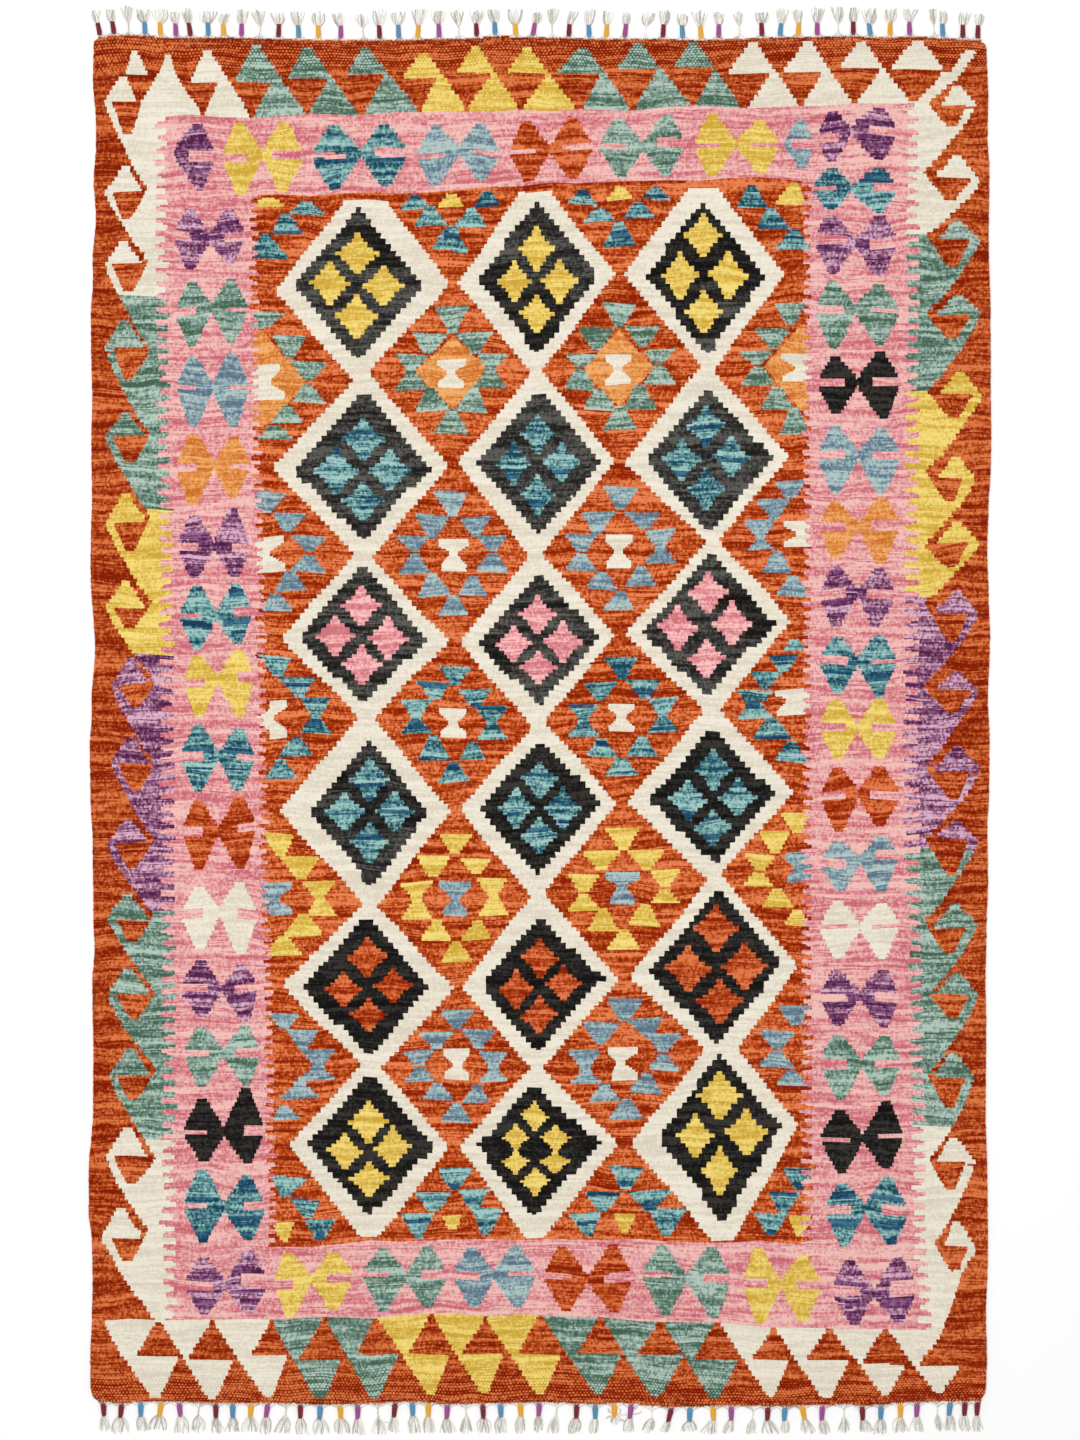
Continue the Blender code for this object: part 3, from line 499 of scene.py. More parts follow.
# The field: three chains of black lozenges on a stepped white ground, and rhombi made of small spikes
# between them. The rhombi come first, because the chains overlap their points.
# Each spike: its base from left to right, the base's row, and its tip.
RHOMBI = (
    ("sage", (435, 470, 306.5, 452.5, 332), (412.5, 447.5, 332.5, 427, 352), (395.5, 428, 354, 411, 370),
     (395, 429, 390, 411, 371), (416, 449, 412, 430, 389), (434.5, 469, 435.5, 452.5, 411),
     (455, 493, 332, 476, 354), (477, 508.5, 354.5, 490, 370), (474, 507, 388.5, 490, 371),
     (455.5, 488, 412, 474, 388)),
    ("sage", (602, 637, 305, 618.6, 329), (579.4, 614.3, 329.3, 596.6, 350), (625, 660.6, 327, 643, 346.4),
     (565.7, 597, 354, 580, 367), (644.3, 675.7, 350, 658.6, 365), (564.3, 597, 390, 580, 368),
     (644.3, 675.7, 386, 658.6, 367), (583.4, 617, 410, 598.6, 388), (624.3, 656.6, 409.3, 639.4, 386.4),
     (603, 637, 430.7, 619.4, 407)),
    ("blue", (433, 467.7, 491.6, 453.4, 515), (415, 449, 515.6, 432, 539.3), (460, 491, 516.4, 476.6, 536.4),
     (396.3, 428.6, 537.3, 415, 553.6), (477, 507, 535.6, 493, 552), (398.6, 430.6, 575, 415, 555),
     (476.6, 508, 572, 493, 553.6), (418.6, 450, 595.6, 432, 575), (458.6, 487, 595.6, 473, 576.4),
     (437.7, 468.6, 617, 453.7, 596.4)),
    ("blue", (603, 638.6, 488, 620.6, 510.7), (581.4, 615.7, 512, 597, 533.6), (624.3, 660, 512, 645.7, 529),
     (564.3, 597, 533.6, 582, 552), (645, 675.7, 530, 660.6, 549.3), (565.7, 597, 572.7, 581.4, 553.6),
     (645.7, 677, 563.6, 660.6, 550), (586.6, 617.7, 590, 601.4, 572), (625.7, 656.3, 587, 641, 567),
     (603, 634.3, 610.7, 620.6, 589.3)),
    ("teal", (439.4, 471, 666, 455, 683.6), (415.7, 449, 682.7, 435.7, 700),
     (458.6, 491.4, 688.4, 475.7, 706.4), (400.6, 433, 700.7, 415.7, 718), (475.7, 507, 707.3, 492, 723.6),
     (401.4, 431.4, 734, 415.7, 719.3), (477, 508, 740.7, 492, 725), (418.6, 450, 760, 433, 736.4),
     (459.4, 486.3, 761.3, 473, 742), (438, 470, 783, 453.4, 762)),
    ("teal", (604.3, 637.7, 658.4, 622.3, 679.3), (583, 618, 681.3, 601, 700.7),
     (625.7, 660.6, 680.7, 645.7, 698), (567.7, 598.6, 703.6, 583.7, 719.3),
     (648.6, 678.6, 698.4, 663, 715.6), (567.7, 599.4, 738.7, 583.7, 720.7), (647, 678.6, 732, 663, 717),
     (587, 618.6, 758.4, 601.4, 740), (626.6, 657.7, 756, 643, 736.4), (605, 639.4, 776.4, 621.4, 758.4)),
    ("yellow", (439.4, 473, 835, 454.3, 855), (416.6, 450, 857, 433.7, 878), (460, 491, 858, 476.6, 875),
     (400.6, 433, 881.6, 416.3, 899.3), (476.6, 507, 878.7, 493, 896.4), (401.4, 432, 920, 417, 900.7),
     (478.6, 508.6, 915.6, 494.3, 896.4), (421, 451, 939.3, 437, 920.7), (461, 490.6, 939.3, 477.7, 920.7),
     (441, 472, 963, 456.3, 939.3)),
    ("yellow", (605, 640, 828.7, 623.4, 849.3), (583, 620.6, 850.7, 601.4, 869.3),
     (627, 664.3, 849.3, 647, 869.3), (568, 600, 874, 583.7, 892), (650, 680.6, 870, 665, 886.4),
     (568, 600, 912.7, 583.7, 893.6), (650, 680.6, 903, 665, 888), (587.7, 618.6, 931.6, 603, 910.7),
     (627.7, 660.6, 926.4, 645.7, 903.6), (607, 640.6, 950.7, 624.3, 929.3)),
    ("blue", (441, 473.7, 1010.7, 457, 1029.3), (418.6, 453.7, 1031.6, 436.6, 1049.3),
     (462.3, 495, 1030.7, 478.6, 1049.3), (403.7, 435, 1049.3, 419.4, 1066.4),
     (478.6, 508, 1051.6, 493.4, 1067.3), (404.3, 434.3, 1082, 419.4, 1068.4),
     (479.4, 508, 1083, 493.4, 1068.7), (422.3, 453.7, 1100.7, 437, 1083.6),
     (462.3, 489.4, 1102.7, 477, 1085), (441, 472, 1121.6, 456.6, 1101.3)),
    ("blue", (608, 642.3, 998.7, 624.3, 1020.7), (583.7, 619.4, 1022.7, 601, 1045),
     (627, 663, 1018, 648.6, 1038), (568, 600, 1050.7, 585.7, 1069.3), (648, 681.4, 1035, 662.3, 1053),
     (570, 602, 1084.4, 585.7, 1070.7), (649, 679.4, 1069.3, 663, 1055), (589, 620.6, 1101.3, 604.3, 1085),
     (630, 662.3, 1093.6, 647, 1075), (609, 643.4, 1120, 626.3, 1100)),
    # Halves at the field's lower end
    ("teal", (439, 472.3, 1168.7, 455, 1190.7), (415, 451.4, 1192, 433, 1210.7),
     (458.6, 490, 1190, 473.7, 1212), (401.4, 434.3, 1212, 418, 1238), (471.4, 503, 1209.3, 485, 1236.4)),
    ("teal", (609, 643.4, 1166, 625.7, 1188.4), (585, 621.4, 1192.7, 603, 1212), (628, 672, 1190, 650, 1212),
     (568, 601, 1213, 588.6, 1235.6), (648.6, 687, 1209.3, 665.7, 1235)),
    ("yellow", (442, 462, 1215.6, 452.3, 1230), (613.7, 635.7, 1215, 625, 1235),
     (273, 294, 1223.6, 284, 1242), (788.6, 811, 1215.6, 800, 1236)),
    # Halves at its upper end
    ("yellow", (438, 464, 207, 452, 193), (606, 632, 200, 621, 187), (254, 285, 208, 268, 198),
     (775, 805, 204, 795, 182)),
    ("teal", (400, 430, 209, 416, 195), (474, 501, 208, 487, 192), (415, 447, 227, 430, 207),
     (455, 487, 227.5, 472, 209), (432, 468, 252, 452, 226),
     (568, 598, 204, 583, 189), (583, 615, 221.5, 600, 206), (642, 670, 200.5, 657, 188),
     (624, 655, 221, 638, 204), (603, 636, 247.5, 619, 222), (290, 325, 215, 306, 200),
     (272, 303, 235, 285, 215), (250, 288, 259, 265, 236), (737, 768, 209, 752, 188),
     (757, 790, 229.5, 771, 209), (776, 811, 251, 794, 229)),
    # Halves at its left side
    ("sage", (272, 306, 335, 290, 360), (290, 327, 361, 308, 381), (292, 327, 404, 308, 385),
     (272, 303, 422.5, 287, 407), (258, 294, 439, 274, 425)),
    ("blue", (272, 306, 513.5, 288, 533), (291, 326, 536, 309, 553), (291, 326, 572.5, 309, 556),
     (275, 307, 591.5, 290, 573), (262, 293, 610, 275, 593)),
    ("teal", (258, 291, 656, 278, 676), (277.7, 315.7, 676, 300, 698), (300.6, 331, 698.7, 315.7, 718),
     (300.6, 332, 735, 315.7, 719), (278.6, 312.3, 757, 297, 738), (265.7, 297, 778, 280, 759)),
    ("yellow", (262, 294, 835, 281, 857), (279.4, 319.4, 857, 301.4, 880.7),
     (302.3, 335.7, 881.6, 319.4, 900.7), (306, 337.7, 917.3, 320.6, 898),
     (283.7, 322.3, 935.6, 303.4, 913.6), (267, 302.3, 955.6, 283, 935)),
    ("blue", (268.6, 299.4, 1015, 285, 1030.7), (287, 318.6, 1030.7, 303, 1050.7),
     (301.4, 335.7, 1049.3, 318.6, 1065.6), (297, 335.7, 1080.7, 318, 1066.4),
     (280, 319.4, 1098.7, 300, 1080.7), (273, 300, 1120.7, 283, 1103.6)),
    ("teal", (271.4, 307, 1177, 285, 1198), (291, 321, 1200, 308, 1219), (304.3, 335.7, 1219.3, 319.4, 1238)),
    # Halves at its right side
    ("sage", (775, 807, 303.6, 790, 325), (754.3, 790, 329, 773, 349.3), (739.4, 773, 351.6, 757, 366.4),
     (741.4, 774.3, 386, 758.6, 367), (760, 794.3, 410, 777, 388), (780, 810, 433.6, 794, 408)),
    ("blue", (775, 805.7, 481.3, 791, 500.7), (757, 790, 500.7, 774.3, 519.3),
     (744.3, 774.3, 520.7, 760.6, 539.3), (747, 775.7, 550.7, 760, 540), (762.3, 792, 573.6, 777, 552),
     (777, 811, 596.4, 793, 576.4)),
    ("teal", (784, 806, 652, 794, 639), (768.6, 798.6, 655, 783.6, 671), (751, 783, 672, 764.3, 688),
     (737, 774, 690, 752, 703.6), (737, 773, 718, 755, 700), (753, 791.4, 739.3, 771.4, 718),
     (775.7, 811, 761.6, 791.4, 742)),
    ("yellow", (781, 812, 813.6, 797, 833), (759, 790, 832.7, 775, 852), (744.3, 775, 853, 760, 870.7),
     (743.4, 773.7, 886, 758.6, 872), (762.3, 794, 907, 777, 888), (785, 811, 925, 797, 909)),
    ("blue", (778.6, 811, 1006, 796, 1024), (760, 794, 1030.7, 777, 1048),
     (759.4, 794.3, 1067.3, 777, 1049.3), (777, 811, 1086, 790, 1069)),
    ("teal", (783, 815, 1168, 799, 1190), (768.6, 800, 1192, 783, 1213.6),
     (754.3, 785.7, 1214.4, 771.4, 1238)),
)
# The middles of some rhombi: a lozenge in its own colour, with its four corners.
weave("light orange", [(452.5, 335), (415, 371.5), (452.5, 412)],
      [(452.5, 335), (488.5, 371.5), (452.5, 412)])
weave("light orange", [(619.4, 330.7), (583, 368.4), (619.4, 407)],
      [(619.4, 330.7), (654.3, 368), (619.4, 407)])
weave("light orange", [(250, 322), (250, 430)],
      [(263, 331), (283, 358), (290, 364), (299, 373), (306, 384), (299, 395), (290, 402), (286, 408),
       (277, 416), (268, 423), (262, 427)], within=in_field)
weave("light orange", [(801, 326), (764, 368), (800, 409)], [(815, 326), (815, 409)], within=in_field)
weave("sage", [(250, 312), (250, 330)], [(277, 312), (285, 314), (270, 327), (257, 330)], within=in_field)
weave("blue", [(250, 492), (250, 513)], [(270, 492), (286, 494), (279, 503), (272, 512), (258, 513)],
      within=in_field)
for yarn, *spikes in RHOMBI:
    for row in spikes:
        spike(yarn, *row, within=in_field)

# The spool in each middle, going down: its upper end, its waist, and its lower end.
SPOOLS = (
    ("white", (437.5, 466, 358), (447, 455, 372), (438.5, 464, 388)),
    ("white", (605.7, 631.4, 354), (614, 622, 369), (605, 631, 385)),
    ("white", (438.6, 468.6, 539), (449, 458, 553.6), (441.4, 466.3, 572)),
    ("white", (605.7, 633, 535), (614, 622.5, 550.7), (607, 631.4, 568.4)),
    ("white", (439.4, 466.3, 708), (448.6, 457.7, 723.6), (441, 466.3, 738)),
    ("white", (608.6, 634.3, 703.6), (617, 626, 718), (609, 634.3, 733)),
    ("blue", (439.4, 471, 881.3), (451, 460, 901), (443.4, 467, 916)),
    ("blue", (605.7, 640, 873), (617, 627, 888.4), (610.6, 635, 906.4)),
    ("white", (443.4, 469, 1051), (452.5, 462, 1066.4), (444.3, 469, 1080)),
    ("white", (608, 637.7, 1048), (616, 625.5, 1065), (612, 637.7, 1081.6)),
    ("white", (253, 280, 365), (253, 271, 384), (253, 285, 402)),
    ("white", (253, 284, 537), (253, 270, 554), (253, 285, 573)),
    ("white", (270, 287, 701), (257, 274, 718), (270, 287, 738)),
    ("blue", (258, 292, 881.6), (258, 280, 899), (270, 292, 915)),
    ("white", (781, 813, 353), (795, 813, 368), (783, 813, 382)),
    ("white", (784, 813, 522), (796, 813, 535), (784, 813, 548)),
    ("white", (775, 813, 689), (786, 813, 700), (777, 813, 716)),
    ("blue", (785, 813, 852), (794, 813, 868), (787, 813, 881)),
)
HALF_WAIST = 2      # squares above and below a spool's waist, and the share of its length in each flange
FLANGE = 0.2
for yarn, (x0, x1, top), (x2, x3, waist), (x4, x5, bottom) in SPOOLS:
    flange = (bottom - top) * FLANGE
    spool_rows = (top, top + flange, waist - HALF_WAIST, waist + HALF_WAIST, bottom - flange, bottom)
    left = list(zip((x0, x0, x2, x2, x4, x4), spool_rows))
    right = list(zip((x1, x1, x3, x3, x5, x5), spool_rows))
    weave(yarn, left, right, within=in_field)

# The chains, from left to right. First the white ground's edges: its points at the necks between the
# lozenges and at the lozenges' sides, going down. Then each lozenge's four corners and its diamonds.
CHAINS = (
    ([(345, 202), (275, 290), (353.4, 380.7), (272, 467), (354.9, 553.6), (281, 638), (359, 717),
      (279.4, 811.3), (363.4, 904.4), (282.3, 986.4), (361.4, 1065.6), (289.4, 1146.4), (360, 1238)],
     [(387, 202), (449.5, 285), (368.5, 373), (449, 466.5), (371.4, 558), (450, 642), (373.4, 717),
      (451, 811.3), (376.6, 905.5), (454.3, 988.7), (380.9, 1066.4), (449, 1148), (377.7, 1238)]),
    ([(520, 192.7), (457.3, 283.5), (531.4, 373), (457.7, 463), (529, 555), (460, 643.6), (532.3, 726.4),
      (460, 810.7), (531.4, 895.6), (462.3, 988), (530.9, 1067.3), (459.4, 1147), (525.7, 1237)],
     [(550, 192.7), (615.7, 273.8), (541.4, 372), (615.7, 462), (541.4, 554.4), (615, 635.6), (544.3, 722),
      (616.6, 803.6), (543.7, 893), (618.6, 980), (542.3, 1068.7), (618.6, 1144), (544.3, 1237)]),
    ([(690, 187.9), (624.3, 273.6), (700.9, 366.4), (624.3, 463), (706.3, 543.6), (624.9, 635), (704.3, 712),
      (627.1, 802), (708, 882), (629.4, 976.4), (705, 1049.3), (631, 1143.6), (712, 1240)],
     [(717, 187.9), (784.3, 274.4), (713.4, 370), (789.4, 456.4), (718.6, 539.3), (790.9, 620.7),
      (720, 709.3), (793.7, 793.6), (720, 874), (798, 968), (737.7, 1050), (798.6, 1127), (733.7, 1240)]),
)
for left, right in CHAINS:
    weave("white", left, right, rise=4.9, within=in_field_rows)
LOZENGES = (
    ("yellow", (358.5, 209), (294, 286.5), (422, 285), (357, 360),
     ((335, 380, 233, 274), (309, 351, 262, 307), (362, 405, 265, 306), (335, 378.5, 293, 340))),
    ("teal", (364, 395), (295, 471.5), (431.5, 467.5), (364, 538.7),
     ((341.5, 385, 418, 461.5), (313.5, 359, 449.5, 494), (368.5, 411.5, 448, 491.5),
      (341, 385, 480.5, 521))),
    ("rose", (360, 566), (299.5, 637), (429.7, 640.7), (361, 700.7),
     ((340, 382.3, 587.3, 626.4), (315.1, 355.7, 615.9, 656.4), (367.1, 409.4, 616.4, 659.9),
      (340.9, 382.9, 645, 684.1))),
    ("teal", (369, 740.7), (307.7, 811.6), (430.6, 811.6), (370, 883.6),
     ((349.4, 390, 757.9, 803), (324.3, 365.1, 792.1, 830.7), (375.1, 414.9, 791.6, 833),
      (350, 389.1, 821.6, 863))),
    ("red orange", (366, 920), (303.4, 990.7), (428, 986.4), (368, 1054),
     ((347.7, 387.1, 937.9, 976.4), (324.3, 362.9, 969.3, 1005.9), (372.9, 413.4, 969.3, 1005),
      (348.6, 388.6, 997.3, 1033))),
    ("yellow", (370, 1078), (307, 1146), (435, 1147.3), (368, 1215),
     ((348, 389.1, 1101.3, 1141.3), (326.3, 363.4, 1131.6, 1168.7), (372.9, 412.3, 1127, 1169.3),
      (348.6, 389.4, 1160.7, 1197.9))),
    ("yellow", (536.9, 203), (478, 281), (599, 273.8), (538, 352.6),
     ((518, 555, 226.5, 272), (497, 532, 262, 302.5), (540.5, 578.5, 260, 302), (519, 555, 294, 332))),
    ("teal", (538.6, 395), (475.7, 462), (599, 463), (536.6, 533.6),
     ((520, 555.1, 413.6, 454.4), (495.7, 531.4, 442.1, 485.9), (542.9, 580, 442.7, 480),
      (520, 555.7, 473.6, 515.9))),
    ("rose", (536.6, 575), (478.6, 643), (600.9, 637), (539.4, 705.9),
     ((518, 557.1, 595, 634.4), (494.9, 532.3, 626.4, 662.7), (542.9, 582.9, 620.7, 661.6),
      (519.4, 557.7, 651.6, 686.4))),
    ("teal", (538, 741.3), (480.6, 810.7), (602, 803.6), (538, 875.9),
     ((520.6, 558.6, 759.9, 797.9), (498, 534.9, 787.9, 828.4), (543.7, 582, 786.4, 830.7),
      (520.9, 557.7, 817.9, 856.4))),
    ("red orange", (538.6, 918), (481.4, 988.7), (604.3, 979.3), (539.4, 1050),
     ((520.9, 559.4, 937.3, 977.9), (499.4, 533.7, 970, 1008), (544.3, 582.3, 965, 1002),
      (520, 558.6, 997, 1033.6))),
    ("yellow", (534.3, 1088), (476.6, 1146), (602.3, 1144.4), (533, 1214.4),
     ((520, 549.4, 1103, 1131.3), (502, 530, 1127, 1150), (540, 571.4, 1124, 1150), (501.4, 530, 1150, 1173),
      (540, 570, 1150, 1174.4), (520, 550.6, 1167, 1195))),
    ("yellow", (703.1, 202), (646, 275.6), (766, 275), (707.1, 352),
     ((683.7, 722.9, 212.1, 258.7), (660.9, 699.4, 250.7, 300.7), (708, 748.6, 251.6, 300.7),
      (684.3, 723.4, 290.7, 332.7))),
    ("teal", (706, 389.3), (644.3, 460.7), (771.7, 456.4), (709.4, 529.9),
     ((686.3, 725.7, 405.9, 447.9), (661.4, 701.4, 438.4, 479.3), (712, 750.6, 437.3, 478.4),
      (687.1, 725.1, 467.9, 509.9))),
    ("rose", (709.4, 554.4), (641.4, 633.6), (775.1, 623), (708, 695),
     ((688, 728.6, 572.1, 614.4), (657.1, 698, 605, 649.9), (712, 752.3, 602.7, 646.4),
      (687.1, 726.3, 637.9, 678.4))),
    ("teal", (712.9, 732), (648.6, 802), (775.7, 795), (715.7, 863.6),
     ((694.3, 732.9, 749.3, 789.9), (668, 708, 779.3, 819.3), (717.7, 757.7, 778.7, 816.4),
      (694.3, 731.4, 807.9, 845.9))),
    ("red orange", (716.6, 892.7), (647.7, 973.6), (782, 963.6), (718.6, 1043.6),
     ((692.9, 739.4, 905.9, 952.1), (664.3, 712, 946.4, 991.6), (720.9, 768.6, 942.1, 989.3),
      (695.7, 743.7, 977.9, 1024.1))),
    ("yellow", (719.4, 1054), (659.4, 1139.3), (782, 1127), (722.9, 1219.9),
     ((695.7, 743.4, 1071.3, 1120.7), (675.7, 714.9, 1114.4, 1158.4), (724.3, 768.6, 1107.3, 1155),
      (701.4, 738, 1145.9, 1195.9))),
)
# The lozenges that have a black frame, counted down each chain from 0. The others' frames are charcoal.
BLACK_FRAMES = (4, 5, 9, 10, 11, 12, 15, 16, 17)
# Black patches in the charcoal frames, or charcoal ones in the black: left, right, top and bottom.
OTHER_PATCHES = {
    0: ((330, 430, 226, 236), (352, 430, 236, 268), (404, 430, 279, 285)),
    3: ((310, 348, 772, 790), (352, 388, 788, 832), (398, 432, 793, 828), (310, 352, 846, 854)),
    6: ((470, 520, 264, 300), (470, 570, 286, 300), (470, 610, 300, 360)),
    8: ((470, 512, 634, 672), (512, 600, 602, 608)),
    12: ((716, 770, 294, 318), (690, 730, 338, 360), (700, 722, 284, 294)),
    14: ((715, 760, 590, 612), (745, 780, 606, 640), (690, 742, 668, 676)),
}
# How wide a diamond is at each of its steps, going down, as a share of its full width.
DIAMOND_STEPS = (0.13, 0.24, 0.45, 0.70, 0.99, 0.74, 0.49, 0.34, 0.18)
for number, (yarn, top, left, right, bottom, diamonds) in enumerate(LOZENGES):
    frame_yarn, other_yarn = ("black", "charcoal") if number in BLACK_FRAMES else ("charcoal", "black")
    lozenge(frame_yarn, top, left, right, bottom)
    frame_skein = skein_at == skeins_used
    for x0, x1, y0, y1 in OTHER_PATCHES.get(number, ()):
        lay(other_yarn, frame_skein & (column_x >= x0) & (column_x < x1) & (row_y >= y0) & (row_y < y1))
    for x0, x1, y0, y1 in diamonds:
        middle_x, half, rise = (x0 + x1) / 2, (x1 - x0) / 2, (y1 - y0) / len(DIAMOND_STEPS)
        steps = [(share * half, y0 + rise * (i + j)) for i, share in enumerate(DIAMOND_STEPS) for j in (0, 1)]
        weave(yarn, [(middle_x - w, y) for w, y in steps], [(middle_x + w, y) for w, y in steps])

# Bars of darker yarn in the purple patches and the teal ones: left, right, top and bottom.
DARK_BARS = (
    ("purple", "dark purple", (
        (184, 216, 145, 149), (190, 214, 170, 174), (822, 845, 114, 122), (819, 847, 148, 153),
        (858, 897, 120, 125), (858, 896, 136, 139), (864, 890, 145, 149), (174, 200, 231, 234),
        (192, 225, 234, 239), (216, 240, 221, 225), (217, 241, 250, 253), (182, 200, 261, 270),
        (819, 839, 225, 228), (857, 870, 239, 246), (815, 848, 247, 253), (864, 897, 246, 249),
        (180, 212, 533, 540), (231, 239, 510, 517), (198, 232, 542, 547), (188, 199, 569, 578),
        (829, 844, 572, 577), (844, 870, 589, 594), (820, 858, 599, 604), (827, 846, 615, 620),
        (870, 892, 609, 612), (181, 204, 982, 986), (209, 237, 986, 991), (185, 218, 995, 999),
        (193, 211, 1009, 1013), (228, 260, 995, 1002), (825, 850, 980, 986), (820, 854, 991, 995),
        (848, 872, 995, 1001), (820, 856, 1001, 1008), (827, 848, 1013, 1026), (864, 900, 984, 990),
        (863, 900, 1000, 1006), (865, 897, 1008, 1014), (185, 223, 1275, 1279), (184, 222, 1288, 1292),
        (190, 216, 1297, 1308), (231, 266, 1270, 1276), (230, 266, 1289, 1293), (240, 262, 1300, 1304),
        (830, 868, 1283, 1288), (862, 890, 1290, 1294), (845, 866, 1303, 1308), (845, 862, 1312, 1324),
        (881, 915, 1280, 1284), (881, 917, 1297, 1308), (893, 908, 1314, 1318),
    )),
    ("teal", "dark blue", (
        (312, 357, 159, 163), (366, 405, 158, 162), (329, 341, 184, 191), (826, 838, 166, 170),
        (863, 893, 174, 180), (859, 897, 181, 185), (824, 838, 204, 212), (229, 244, 588, 596),
        (181, 214, 622, 628), (223, 254, 619, 625), (231, 246, 631, 635), (845, 870, 660, 664),
        (820, 852, 669, 674), (864, 894, 674, 681), (182, 214, 749, 754), (224, 256, 749, 754),
        (186, 213, 769, 771), (224, 252, 769, 771), (185, 219, 1198, 1203), (195, 211, 1231, 1242),
        (239, 256, 1178, 1188), (228, 265, 1215, 1220), (235, 261, 1223, 1227), (241, 252, 1233, 1240),
        (830, 856, 1193, 1200), (871, 905, 1197, 1201), (828, 862, 1220, 1227), (873, 905, 1221, 1228),
        (886, 897, 1238, 1245),
        # In the diamonds of the lozenges
        (350, 382, 431, 435), (328, 342, 449, 456), (510, 522, 442, 453), (505, 521, 474, 480),
        (547, 572, 468, 473), (527, 546, 501, 508), (690, 722, 426, 430), (697, 712, 440, 447),
        (673, 689, 471, 477), (715, 746, 460, 464), (355, 383, 784, 789), (366, 373, 797, 803),
        (377, 412, 811, 815), (325, 365, 812, 814), (351, 385, 834, 840), (527, 558, 773, 777),
        (548, 580, 799, 803), (558, 569, 820, 825), (525, 548, 830, 835), (507, 520, 812, 816),
        (702, 722, 761, 764), (680, 697, 810, 818), (728, 748, 781, 786), (704, 720, 833, 839),
        # In the rhombi's spikes
        (409, 421, 195, 200), (473, 500, 203, 208), (444, 460, 233, 240), (575, 591, 189, 196),
        (643, 668, 196, 199), (612, 631, 231, 240), (272, 303, 231, 235), (757, 788, 225, 230),
        (418, 449, 683, 688), (471, 484, 703, 709), (478, 505, 706, 711), (408, 424, 722, 730),
        (447, 460, 762, 770), (611, 627, 670, 678), (632, 653, 689, 694), (567, 594, 704, 708),
        (596, 610, 742, 749), (645, 678, 727, 731), (283, 315, 682, 686), (306, 322, 721, 729),
        (264, 283, 760, 763), (769, 799, 654, 661), (744, 760, 700, 708), (753, 791, 735, 740),
        (448, 460, 1183, 1190), (460, 478, 1200, 1204), (405, 431, 1218, 1223), (618, 634, 1180, 1185),
        (587, 620, 1192, 1197), (640, 657, 1205, 1210), (577, 597, 1221, 1225), (291, 320, 1199, 1202),
        (316, 325, 1231, 1238), (770, 797, 1192, 1196), (767, 776, 1231, 1238), (796, 804, 1184, 1190),
    )),
)
for yarn, darker, bars in DARK_BARS:
    for x0, x1, y0, y1 in bars:
        bar = (column_x >= x0) & (column_x < x1) & (row_y >= y0) & (row_y < y1)
        lay(darker, bar & (yarn_at == YARN_NAMES.index(yarn)))

# From the chart to the cloth. Each row becomes a strip of faces, one for each run of a skein, and two
# rows share the corners on the line between them. A slanting edge crosses that line at one corner.
SHORTEST_RUN = 1.5    # squares; the weaver doesn't turn back sooner
SLANT = 1.3           # squares between two rows' edges, past which there is a step
CLEAR_OF_END = 0.3    # squares that a corner keeps from the line's own two ends
# A long run is given further corners to bow at, where no other corner is as near as this, in squares.
FURTHER_CORNERS, NEAR = range(100, 985, 30), 14
# The wefts bow a little between one patch and the next. Each bow: its height, its length along and down
# the rug, in squares, and where it starts.
WEFT_BOWS = ((0.8, 96, 210, 0.3), (0.7, -131, 150, 1.9), (0.6, 67, -170, 4.0), (0.5, 173, 83, 2.2))
STRAIGHT_ABOVE, STRAIGHT_BELOW, BOW_COMES_IN = 55, 1388, 50


def line_y(line, x):
    """Where a weft line runs before it bows."""
    return float(np.interp(x, columns, weft_y[line]))


def bowed(line, x):
    """Where a weft line runs once it has bowed, which it doesn't at the rug's two ends."""
    y = line_y(line, x)
    share = max(0.0, min(1.0, (y - STRAIGHT_ABOVE) / BOW_COMES_IN, (STRAIGHT_BELOW - y) / BOW_COMES_IN))
    return y + share * sum(height * math.sin(2 * math.pi * (x / along + y / down) + start)
                           for height, along, down, start in WEFT_BOWS)


def end_of_row(selvedge, line, start):
    """Where a weft line meets the selvedge, starting from a place near it."""
    y = line_y(line, start)
    return float(np.interp(y, [p[1] for p in selvedge], [p[0] for p in selvedge]))


NEAR_LEFT, NEAR_RIGHT = 95, 985
line_ends = [(end_of_row(left_selvedge, n, NEAR_LEFT), end_of_row(right_selvedge, n, NEAR_RIGHT))
             for n in range(row_count + 1)]
line_ends[0] = (upper_end[0][0], upper_end[-1][0])
line_ends[-1] = (lower_end[0][0], lower_end[-1][0])


def turns_of(row):
    """The places in a row where one skein ends and the next begins, and each run's yarn and skein."""
    code = skein_at[row]
    low = max(line_ends[row][0], line_ends[row + 1][0]) + SHORTEST_RUN
    high = min(line_ends[row][1], line_ends[row + 1][1]) - SHORTEST_RUN
    change = np.flatnonzero(code[1:] != code[:-1]) + 1
    turns = [[float(columns[c]), int(c)] for c in change if low < columns[c] < high]
    kept = []
    for turn in turns:
        if kept and turn[0] - kept[-1][0] < SHORTEST_RUN:
            kept[-1][1] = turn[1]
        else:
            kept.append(turn)
    first = int((max(low, columns[0]) - columns[0]) / COLUMN)
    runs = [(int(yarn_at[row, first]), int(skein_at[row, first]))]
    turn_places = []
    for x, c in kept:
        run = (int(yarn_at[row, c]), int(skein_at[row, c]))
        if run != runs[-1]:
            turn_places.append(x)
            runs.append(run)
    return turn_places, runs


rows_of_runs = [turns_of(row) for row in range(row_count)]
LEFT_OF_ALL, RIGHT_OF_ALL = -1.0, 2000.0


